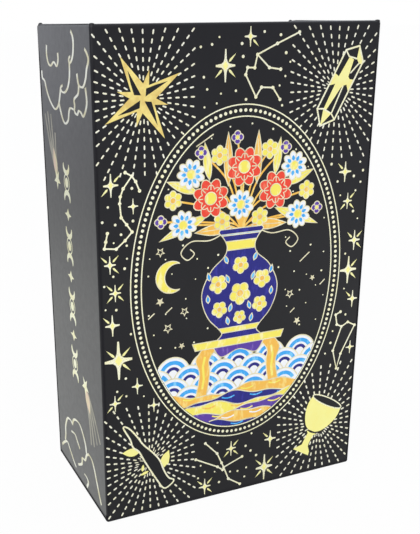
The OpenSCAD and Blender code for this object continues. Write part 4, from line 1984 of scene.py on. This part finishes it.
    def sky(self) -> None:
        """Crescent, open and solid stars and strokes in the dark round the vase."""
        open_stars = ((-23.4 + 10.6j, 1.1), (-16.6 - 6.4j, 1.1), (-21.4 - 10.4j, 1.2), (15.8 - 6.0j, 1.1))
        solid_stars = ((-23.6 - 2.7j, 1.25), (-17.4 - 16.0j, 1.0), (18.6 - 14.4j, 1.2), (23.0 - 2.2j, 0.9))
        for centre, radius in open_stars + solid_stars:
            star = star_path(self.middle + centre, (0.45 * radius, radius))
            solid = Patch.filled(star)
            is_open = (centre, radius) in open_stars
            self.lines.add(Patch.ribbon(star, 0.24, closed=True) if is_open else solid, height=self.height(4))
            self.cover.append(solid)
        moon = [polar(4.3, a) for a in range(60, 301, 12)]
        moon += [1.7 + polar(3.55, a) for a in range(282, 77, -12)]
        self.paint(YELLOW, [-20.4 + 3.6j + p for p in moon], 0)
        for path in (
            [-8.6 + 39.4j, -13.4 + 36.6j], [-27.0 - 7.0j, -25.2 - 5.6j], [-21.9 - 6.0j, -20.2 - 4.7j],
            [25.6 - 4.6j, 27.2 - 3.2j], [18.6 + 3.0j, 21.6 + 5.4j], [16.2 - 11.6j, 17.6 - 10.4j],
        ):
            self.stroke(path, 0.32, 1.0)

    def build(self) -> None:
        """Paints everything and makes the pieces."""
        for part in (self.waves, self.stand, self.ground, self.bouquet, self.vase, self.sky):
            part()
        for sheet in (*self.sheets.values(), self.lines):
            sheet.build()
        grown = [Patch.ribbon(p.points, self.dot_clear, closed=True) for p in self.cover if len(p.faces) == 1]
        self.dots.build(Patch.filled(OVAL.path(self.dot_inset, 64)), self.cover + grown)


@dataclass(frozen=True)
class SideWall:
    """Cloud lines, shooting stars and a row of moons on a long wall."""

    name: str
    plane: Plane
    mirror: bool = False
    thin: float = 0.44
    thick: float = 1.12
    plate_step: float = 0.0002
    column: complex = -0.95 + 94.6j
    column_pitch: float = 4.32
    column_count: int = 15
    moon_radius: float = 1.35
    halo: Span = (2.2, 0.4)
    glint_size: complex = 2.8 + 1.7j
    glint_waist: complex = 0.3 + 0.3j
    # Centre and radii of a crescent's two arcs
    crescent_outer: tuple[complex, complex] = (-0.3j, 2.75 + 2.1j)
    crescent_inner: tuple[complex, complex] = (0.75j, 2.1 + 1.75j)
    star_radii: Span = (1.2, 2.9)
    tail_start: float = 0.13
    tail_fan: float = 0.06
    tail_bow: complex = 0.04j
    tail_width: float = 1.5
    tail_taper: float = 0.05
    glow_reach: Span = (0.04, 0.48)
    glow_width: float = 3.4
    glow_lift: float = 0.004
    star_lift: float = 0.006

    def clouds(self) -> list[Path]:
        """Draws the clouds' edges, seven at the upper end and seven at the lower.

        Returns:
            The knots of each edge.
        """
        return [
            spots((-13.3, 124.7), (-13.7, 122.4), (-12.6, 120.3), (-10.4, 119.6), (-7.4, 120.6),
                  (-5.0, 119.7), (-3.5, 121.2), (-3.6, 123.0)),
            spots((7.9, 128.3), (9.3, 127.0), (9.6, 125.0), (8.9, 122.8), (7.4, 121.3), (5.9, 120.9),
                  (5.7, 121.9), (6.8, 122.4)),
            spots((5.9, 120.9), (5.8, 118.8), (5.2, 116.8), (3.6, 114.8), (1.2, 113.6), (-1.4, 113.6),
                  (-2.3, 114.5), (-0.6, 115.2)),
            spots((-19.2, 118.0), (-19.0, 116.2), (-16.8, 115.3), (-15.3, 113.0), (-12.4, 110.4),
                  (-8.6, 108.7), (-5.8, 109.4), (-4.0, 111.2), (-2.3, 114.5)),
            spots((-4.3, 110.3), (-3.0, 108.2), (-1.2, 106.3), (0.7, 105.8), (3.0, 106.9), (3.9, 109.0),
                  (5.2, 110.0), (7.8, 109.9)),
            spots((17.9, 124.4), (19.6, 123.3), (20.4, 121.9), (19.0, 120.0), (18.0, 117.8), (16.1, 115.9),
                  (13.8, 115.7), (12.3, 116.4), (11.5, 118.6)),
            spots((12.6, 115.8), (11.8, 113.9), (8.6, 112.4), (8.8, 110.9), (8.5, 109.5), (10.5, 108.9),
                  (11.9, 109.9), (13.6, 109.6), (15.2, 108.9), (17.2, 110.5), (18.2, 112.6), (17.5, 115.7)),
            spots((-6.6, 16.5), (-8.5, 17.1), (-11.6, 16.2), (-13.9, 12.6), (-14.3, 9.6), (-15.1, 7.1)),
            spots((-6.6, 16.5), (-5.2, 18.6), (-2.4, 19.8), (1.0, 19.8), (3.8, 17.8), (5.6, 15.4),
                  (6.1, 13.4), (6.9, 13.0)),
            spots((-8.0, 13.6), (-4.5, 14.2), (-2.5, 13.1), (-0.1, 11.5)),
            spots((-18.8, 3.8), (-16.4, 5.7), (-13.0, 7.5), (-10.2, 6.0), (-7.0, 3.9), (-4.7, 2.9)),
            spots((-2.4, 5.1), (1.2, 7.2), (1.9, 9.4), (4.6, 10.2), (6.2, 12.6), (8.3, 13.9)),
            spots((8.3, 13.9), (10.9, 13.4), (12.8, 11.4), (14.4, 8.6), (16.2, 5.4), (17.8, 2.8)),
            spots((3.2, 4.9), (5.7, 4.8), (6.7, 3.7), (5.1, 1.6)),
        ]

    def cloud_line(self, knots: Path) -> Patch:
        """Draws a cloud's edge, thick where it is steep.

        Args:
            knots: the points that it passes.

        Returns:
            The line.
        """
        path, more = flowing(knots, 6), self.thick - self.thin
        ways = [path[min(i + 1, len(path) - 1)] - path[max(i - 1, 0)] for i in range(len(path))]
        return Patch.ribbon(path, [self.thin + more * abs(way.imag) / abs(way) for way in ways])

    def comet_tail(self, head: complex, ends: Path) -> list[Patch]:
        """Draws the thinning strokes behind a comet's head.

        Args:
            head: the middle of its star.
            ends: where the strokes end.

        Returns:
            The strokes.
        """
        made = []
        for end in ends:
            start = head + self.tail_start * (end - head) + self.tail_fan * (end - ends[0])
            bend = 0.5 * (start + end) + self.tail_bow * (end - start)
            path = flowing([start, bend, end], 6)
            made.append(Patch.ribbon(path, [self.tail_width - self.tail_taper * k for k in range(len(path))]))
        return made

    def comet_glow(self, head: complex, ends: Path) -> Patch:
        """The bright start of a comet's tail."""
        start, end = (head + share * ((ends[1] + ends[2]) / 2 - head) for share in self.glow_reach)
        return Patch.filled(leaf_path(start, end, self.glow_width))

    def crescent(self, centre: complex, way: int) -> Patch:
        """Draws a crescent.

        Args:
            centre: its middle.
            way: 1 for horns that point up and -1 for down.

        Returns:
            The filled crescent.
        """
        outer, inner = (ring_path(*arc, 180.0, 36) for arc in (self.crescent_outer, self.crescent_inner))
        outline = outer[-3:] + outer[:22] + inner[18::-1]
        return Patch.filled([centre + complex(p.real, way * p.imag) for p in outline])

    def moons(self) -> list[Patch]:
        """Draws the column of crescents, full moons and glints.

        Returns:
            Their patches, from the top down.
        """
        made, size = [], self.glint_size
        glint = [1j**quarter * corner for quarter in range(4) for corner in (1, self.glint_waist)]
        for k in range(self.column_count):
            centre = self.column - 1j * self.column_pitch * k
            if k % 4 == 1:
                radius, line = self.halo
                made.append(Patch.ribbon(disc_path(centre, radius), line, closed=True))
                made.append(Patch.filled(disc_path(centre, self.moon_radius)))
            elif k % 4 == 3:
                points = [centre + complex(size.real * p.real, size.imag * p.imag) for p in glint]
                made.append(Patch.filled(points))
            else:
                made.append(self.crescent(centre, 1 - k % 4))
        return made

    def stamp(self, name: str, finish: FoilStamp, patches: Sequence[Patch], lift: float = 0.0) -> None:
        """Makes one piece of foil on the wall.

        Args:
            name: the piece's name, after the wall's.
            finish: its foil.
            patches: its plates.
            lift: how far they stand above plain foil.
        """
        sheet = PlateSheet(f"{self.name}_{name}", self.plane, finish)
        if self.mirror:
            patches = [Patch([-p.conjugate() for p in patch.points], patch.faces) for patch in patches]
        sheet.add(*patches, height=FOIL_HEIGHT + lift, step=self.plate_step)
        sheet.build()

    def build(self) -> None:
        """Makes the wall's foil."""
        comets = (
            (-9.4 + 89.9j, spots((-18.2, 106.6), (-15.6, 107.4), (-12.6, 107.0), (-9.4, 102.4))),
            (7.7 + 35.0j, spots((11.1, 18.4), (13.6, 19.0), (16.2, 20.8), (18.8, 22.3))),
        )
        tails = [stroke for comet in comets for stroke in self.comet_tail(*comet)]
        glows = [self.comet_glow(*comet) for comet in comets]
        stars = [Patch.filled(star_path(head, self.star_radii)) for head, _ in comets]
        # The walls' foils are copies whose colours paint the light that the walls catch
        self.stamp("clouds", GOLD_SIDE, [self.cloud_line(knots) for knots in self.clouds()])
        self.stamp("comet_tails", GOLD_DIM, tails)
        self.stamp("comet_glows", GOLD_ROSE, glows, self.glow_lift)
        self.stamp("comet_stars", GOLD_COLUMN, stars, self.star_lift)
        self.stamp("moons", GOLD_COLUMN, self.moons())


@dataclass(frozen=True)
class BoxPaper:
    """The paper over the lid and the base."""

    lid_finish: LaminatedPaper = LaminatedPaper("black_paper_lid", "lid_board")
    base_finish: LaminatedPaper = LaminatedPaper("black_paper_base", "base_wrap")
    crease: float = 35.0
    merge: float = 1e-6
    front_ear_share: float = 0.45
    fold_width: float = 1.1
    fold_inset: float = 0.2
    fold_sunk: float = 0.1
    fold_heights: tuple[tuple[int, float, float], ...] = ((-1, 0.08, 0.14), (1, 0.04, 0.42))
    fold_end_share: float = 0.4
    fold_end_growth: float = 8.0
    fold_steps: int = 14
    fold_turns: int = 8

    def smooth(self, mesh: Mesh) -> None:
        """Shades paper smooth between its creases."""
        mesh.shade_smooth()
        mesh.set_sharp_from_angle(angle=math.radians(self.crease))

    def build_folds(self) -> None:
        """Makes the low folds of paper along the upper ends of the long walls, which swell to the rear."""
        shell, edge, half = bmesh.new(), FACES.size(), self.fold_width / 2
        angles = [math.pi * k / self.fold_turns for k in range(self.fold_turns + 1)]
        for side, low, high in self.fold_heights:
            rings = []
            middle = side * (edge.x - FACES.set_back - self.fold_inset - half)
            for share in (i / self.fold_steps for i in range(self.fold_steps + 1)):
                y = (2 * share - 1) * (edge.y - self.fold_width)
                ends = min(1.0, self.fold_end_share + self.fold_end_growth * min(share, 1 - share))
                tall = (low + (high - low) * share**2) * ends
                arch = [(middle + half * math.cos(a), y, edge.z + tall * math.sin(a)) for a in angles]
                sunk = [(middle + way * half, y, edge.z - self.fold_sunk) for way in (-1, 1)]
                rings.append([shell.verts.new(Vector(corner) * MM) for corner in arch + sunk])
            for a, b in zip(rings, rings[1:]):
                for k in range(len(a)):
                    after = (k + 1) % len(a)
                    shell.faces.new((a[k], b[k], b[after], a[after]))
            shell.faces.new(rings[0])
            shell.faces.new(rings[-1][::-1])
        bmesh.ops.recalc_face_normals(shell, faces=shell.faces[:])
        mesh = take_mesh("lid_folds", shell)
        self.smooth(mesh)
        piece = add_piece("lid_folds", mesh)
        self.lid_finish.dress(piece)

    def build_lid(self) -> None:
        """Makes the lid's paper from its CAD node, set back where foil and ink lie on it."""
        edge = FACES.size() * MM
        reach, front = edge.x - FACES.set_back * MM, FACES.set_back * MM - edge.y
        shell = bmesh.new()
        shell.from_mesh(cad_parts["lid_wrap"].data)
        bmesh.ops.remove_doubles(shell, verts=shell.verts, dist=self.merge)
        for v in shell.verts:
            v.co.x = min(max(v.co.x, -reach), reach)
            v.co.y = max(v.co.y, front)
            if v.co.z > edge.z and v.co.y < 0:
                v.co.z = edge.z + self.front_ear_share * (v.co.z - edge.z)
        mesh = take_mesh("lid_paper_source", shell)
        self.smooth(mesh)
        source = add_object("lid_paper_source", mesh)
        source.modifiers.new("flat_panels", "WEIGHTED_NORMAL").keep_sharp = True
        made = settled_mesh(source)
        made.name = "lid_paper"
        piece = add_piece("lid_paper", made)
        self.lid_finish.dress(piece)
        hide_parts("lid_wrap")

    def build(self) -> None:
        """Makes the lid's paper and dresses the base's."""
        self.build_lid()
        self.build_folds()
        self.base_finish.dress(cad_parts["base_wrap"])


@dataclass(frozen=True)
class HiddenLayers:
    """Boards, corner tapes and linings."""

    board: PulpPaper = PulpPaper(
        "greyboard", (0.28, 0.26, 0.23), (0.2, 0.185, 0.165), (0.42, 0.4, 0.36), 0.5, 0.88, 0.05
    )
    tape: PulpPaper = PulpPaper(
        "kraft_tape", (0.58, 0.45, 0.27), (0.48, 0.35, 0.19), (0.36, 0.25, 0.13), 0.3, 0.8
    )
    lining: PulpPaper = PulpPaper(
        "black_lining_paper", (0.014, 0.0135, 0.0155), (0.021, 0.02, 0.023), (0.035, 0.034, 0.037), 0.2, 0.86,
        0.02,
    )

    def build(self) -> None:
        """Dresses the layers of the lid and the base."""
        for tray in ("lid", "base"):
            for node, finish in (("board", self.board), ("corner_stays", self.tape), ("liner", self.lining)):
                finish.dress(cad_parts[f"{tray}_{node}"])


class Suit(Enum):
    """The suits, with their motif and the colour of their faces."""

    WANDS = (Motif.ROD, (0.82, 0.6, 0.36))
    CUPS = (Motif.GOBLET, (0.42, 0.6, 0.78))
    SWORDS = (Motif.BLADE, (0.66, 0.68, 0.72))
    PENTACLES = (Motif.COIN, (0.5, 0.62, 0.36))


@dataclass(frozen=True)
class CardDeck:
    """The cards: a gold lattice on their backs, a suit's motif on their faces."""

    majors: int = 22
    major_ground: Colour = (0.09, 0.07, 0.2)
    sample: str = "major_card_00"

    def build(self) -> None:
        """Dresses every card."""
        major = GildedSheet("card_print_major", self.sample, Motif.LATTICE, Motif.SUN, self.major_ground)
        for i in range(self.majors):
            major.dress(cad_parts[f"major_card_{i:02d}"])
        for suit in Suit:
            name = suit.name.lower()
            finish = GildedSheet(f"card_print_{name}", self.sample, Motif.LATTICE, *suit.value)
            for kind in ("numbered", "court"):
                finish.dress(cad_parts[f"{name}_{kind}_cards"])
        LOG.info("cards dressed: %d majors and %d suits", self.majors, len(Suit))


@dataclass(frozen=True)
class Guidebook:
    """The stapled booklet."""

    cover: GildedSheet = GildedSheet(
        "booklet_cover_print", "guidebook_cover", Motif.SUN, Motif.PLAIN,
        (0.03, 0.036, 0.11), (0.03, 0.036, 0.11), (0.5, 0.47, 0.42),
    )
    paper: PulpPaper = PulpPaper(
        "booklet_ivory", (0.84, 0.8, 0.7), (0.78, 0.73, 0.62), (0.68, 0.62, 0.5), 0.1, 0.85, 0.015
    )
    wire: BrightWire = BrightWire()

    def build(self) -> None:
        """Dresses cover, sheets and staples."""
        for node, finish in (("cover", self.cover), ("sheets", self.paper), ("staples", self.wire)):
            finish.dress(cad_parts[f"guidebook_{node}"])


@dataclass(frozen=True)
class StudioFloor(Finish):
    """Pale floor that reads white in the picture, keeps part of the shadow and dims in gloss far off: the
    glow that gloss sees is painted shade in the box's reflections, lowest just before the front.
    """

    name: str = "studio_floor"
    white: Colour = (0.95, 0.95, 0.95)
    grain_scale: float = 0.02
    grain_share: float = 0.985
    roughness: float = 0.9
    glow_share: float = 0.965
    tint_reach: Span = (200.0, 900.0)
    # Levels of the glow that gloss sees, which paint shade into the box's reflections
    # Two distances in millimetres and the change of level between them
    front_steps: tuple[Triple, ...] = ((35.0, 190.0, 0.33), (380.0, 1300.0, -0.31))
    wall_steps: tuple[Triple, ...] = ((150.0, 380.0, -0.27), (600.0, 2400.0, 0.3))
    front_start: float = 0.66
    wall_start: float = 0.97
    # Where the floor before the front passes into that beside the wall
    corner: float = 18.4
    corner_reach: Span = (-30.0, 30.0)
    near_tint: Colour = (0.985, 1.0, 0.985)
    far_tint: Colour = (0.92, 0.935, 1.0)

    def level(self, wire: Wiring, away: Socket, start: float, steps: Sequence[Triple]) -> Socket:
        """How bright gloss sees the floor: a start, then one rise or fall with the distance after another."""
        changes = [wire.rise(away, low, high, 0.0, change) for low, high, change in steps]
        return reduce(wire.plus, changes, start)

    def looks(self, wire: Wiring) -> Feeds:
        """Writes a matte white.

        Args:
            wire: the floor's tree.

        Returns:
            What feeds the shader.
        """
        grain = wire.noise(wire.coordinates(), self.grain_scale)
        colour = wire.tint(grain, self.white, shaded(self.white, self.grain_share))
        return {"Base Color": colour, "Roughness": self.roughness, "Specular IOR Level": 0.0}

    def surface(self, wire: Wiring, shader: Socket) -> Socket:
        """Mixes the matte white with a glow: plain white for the camera, and for gloss levels that paint
        shade into the box's reflections.

        Args:
            wire: the floor's tree.
            shader: the matte white.

        Returns:
            The mixed shader.
        """
        place = wire.coordinates()
        away, (x, y, _) = wire.length(place), wire.split(place)
        is_camera = wire.node("ShaderNodeLightPath").outputs["Is Camera Ray"]
        by_wall = wire.rise(wire.minus(wire.minus(y, x), self.corner), *self.corner_reach)
        front = self.level(wire, away, self.front_start, self.front_steps)
        wall = self.level(wire, away, self.wall_start, self.wall_steps)
        tint = wire.tint(wire.rise(away, *self.tint_reach), self.near_tint, self.far_tint)
        strength = wire.most(is_camera, wire.blend(by_wall, front, wall))
        feeds = {"Color": wire.tint(is_camera, tint, (1.0, 1.0, 1.0)), "Strength": strength}
        glow = wire.out("ShaderNodeEmission", feeds)
        share = wire.times(Studio.seen_directly(wire), self.glow_share)
        return wire.out("ShaderNodeMixShader", {0: share, 1: shader, 2: glow})


@dataclass(frozen=True)
class Studio:
    """Camera, soft light, white surroundings and floor."""

    eye: Vector = Vector((-102.264, -202.356, 130.0))
    azimuth: float = -23.035
    elevation: float = 19.096
    roll: float = -0.704
    focal_px: float = 809.5
    centre_px: complex = 153.052 + 303.271j
    frame_px: complex = 420 + 534j
    sensor: float = 36.0
    clip: Span = (0.01, 100.0)
    key_from: Vector = Vector((-0.4, -0.72, 0.57))
    key_strength: float = 1.75
    key_angle: float = 70.0
    ambient: float = 0.55
    gloss_reach: Span = (-0.5, 0.5)
    gloss_levels: Span = (0.7, 1.0)
    gloss_tint: Colour = (0.91, 0.94, 1.0)
    floor_half: float = 20.0
    floor_drop: float = 0.00005

    @staticmethod
    def seen_directly(wire: Wiring) -> Socket:
        """1 for what the camera, gloss and glass see."""
        path = wire.node("ShaderNodeLightPath").outputs
        return wire.most(*[path[f"Is {way} Ray"] for way in ("Camera", "Glossy", "Transmission")])

    def build_camera(self) -> None:
        """Sets the camera where the photograph was taken."""
        a, e, r = (math.radians(v) for v in (self.azimuth, self.elevation, self.roll))
        back = Vector((math.sin(a) * math.cos(e), -math.cos(a) * math.cos(e), math.sin(e)))
        level = Vector((math.cos(a), math.sin(a), 0))
        rise = back.cross(level)
        right = level * math.cos(r) + rise * math.sin(r)
        up = rise * math.cos(r) - level * math.sin(r)
        data = bpy.data.cameras.new("camera")
        long_side = self.frame_px.imag
        data.sensor_width, data.lens = self.sensor, self.focal_px / long_side * self.sensor
        offset = self.frame_px / 2 - self.centre_px
        data.shift_x, data.shift_y = offset.real / long_side, -offset.imag / long_side
        data.clip_start, data.clip_end = self.clip
        camera = add_object("camera", data)
        turn = Matrix((right, up, back)).transposed().to_4x4()
        camera.matrix_world = Matrix.Translation(self.eye * MM) @ turn
        bpy.context.scene.camera = camera

    def build_light(self) -> None:
        """Adds the soft key light and the white surroundings."""
        lamp = bpy.data.lights.new("key", "SUN")
        lamp.energy, lamp.angle = self.key_strength, math.radians(self.key_angle)
        key = add_object("key", lamp)
        key.rotation_mode = "QUATERNION"
        key.rotation_quaternion = (-self.key_from).to_track_quat("-Z", "Y")
        world = bpy.data.worlds.new("surroundings")
        world.use_nodes = True
        world.node_tree.nodes.clear()
        wire = Wiring(world.node_tree)
        is_camera = wire.node("ShaderNodeLightPath").outputs["Is Camera Ray"]
        towards = wire.split(wire.node("ShaderNodeTexCoord").outputs["Generated"])[1]
        gloss = wire.rise(towards, *self.gloss_reach, *self.gloss_levels)
        level = wire.most(wire.blend(self.seen_directly(wire), self.ambient, gloss), is_camera)
        colour = wire.tint(is_camera, self.gloss_tint, (1.0, 1.0, 1.0))
        glow = wire.out("ShaderNodeBackground", {"Color": colour, "Strength": level})
        wire.node("ShaderNodeOutputWorld", {"Surface": glow})
        bpy.context.scene.world = world
        bpy.context.scene.view_settings.view_transform = "Standard"

    def build_floor(self) -> None:
        """Lays the floor just under the box."""
        half, mesh = self.floor_half, bpy.data.meshes.new("floor")
        corners = [(x * half, y * half, -self.floor_drop) for x, y in ((-1, -1), (1, -1), (1, 1), (-1, 1))]
        mesh.from_pydata(corners, [], [(0, 1, 2, 3)])
        mesh.materials.append(StudioFloor().material())
        floor = add_object("floor", mesh)

    def build(self) -> None:
        """Makes the studio."""
        self.build_camera()
        self.build_light()
        self.build_floor()


def write_sizes() -> None:
    """Brings the scene's placements up to date."""
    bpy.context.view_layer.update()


def main() -> None:
    """Builds the studio and every part of the boxed deck."""
    logging.basicConfig(level=logging.INFO, format="%(message)s")
    inside = (HiddenLayers(), CardDeck(), Guidebook())
    walls = (SideWall("left_wall", FACES.side(-1)), SideWall("right_wall", FACES.side(1), mirror=True))
    for part in (Studio(), BoxPaper(), *inside, OVAL, *BURSTS, NightSky(), OvalPicture(), *walls):
        LOG.info("building %s", type(part).__name__)
        part.build()
    write_sizes()


if __name__ == "__main__":
    main()
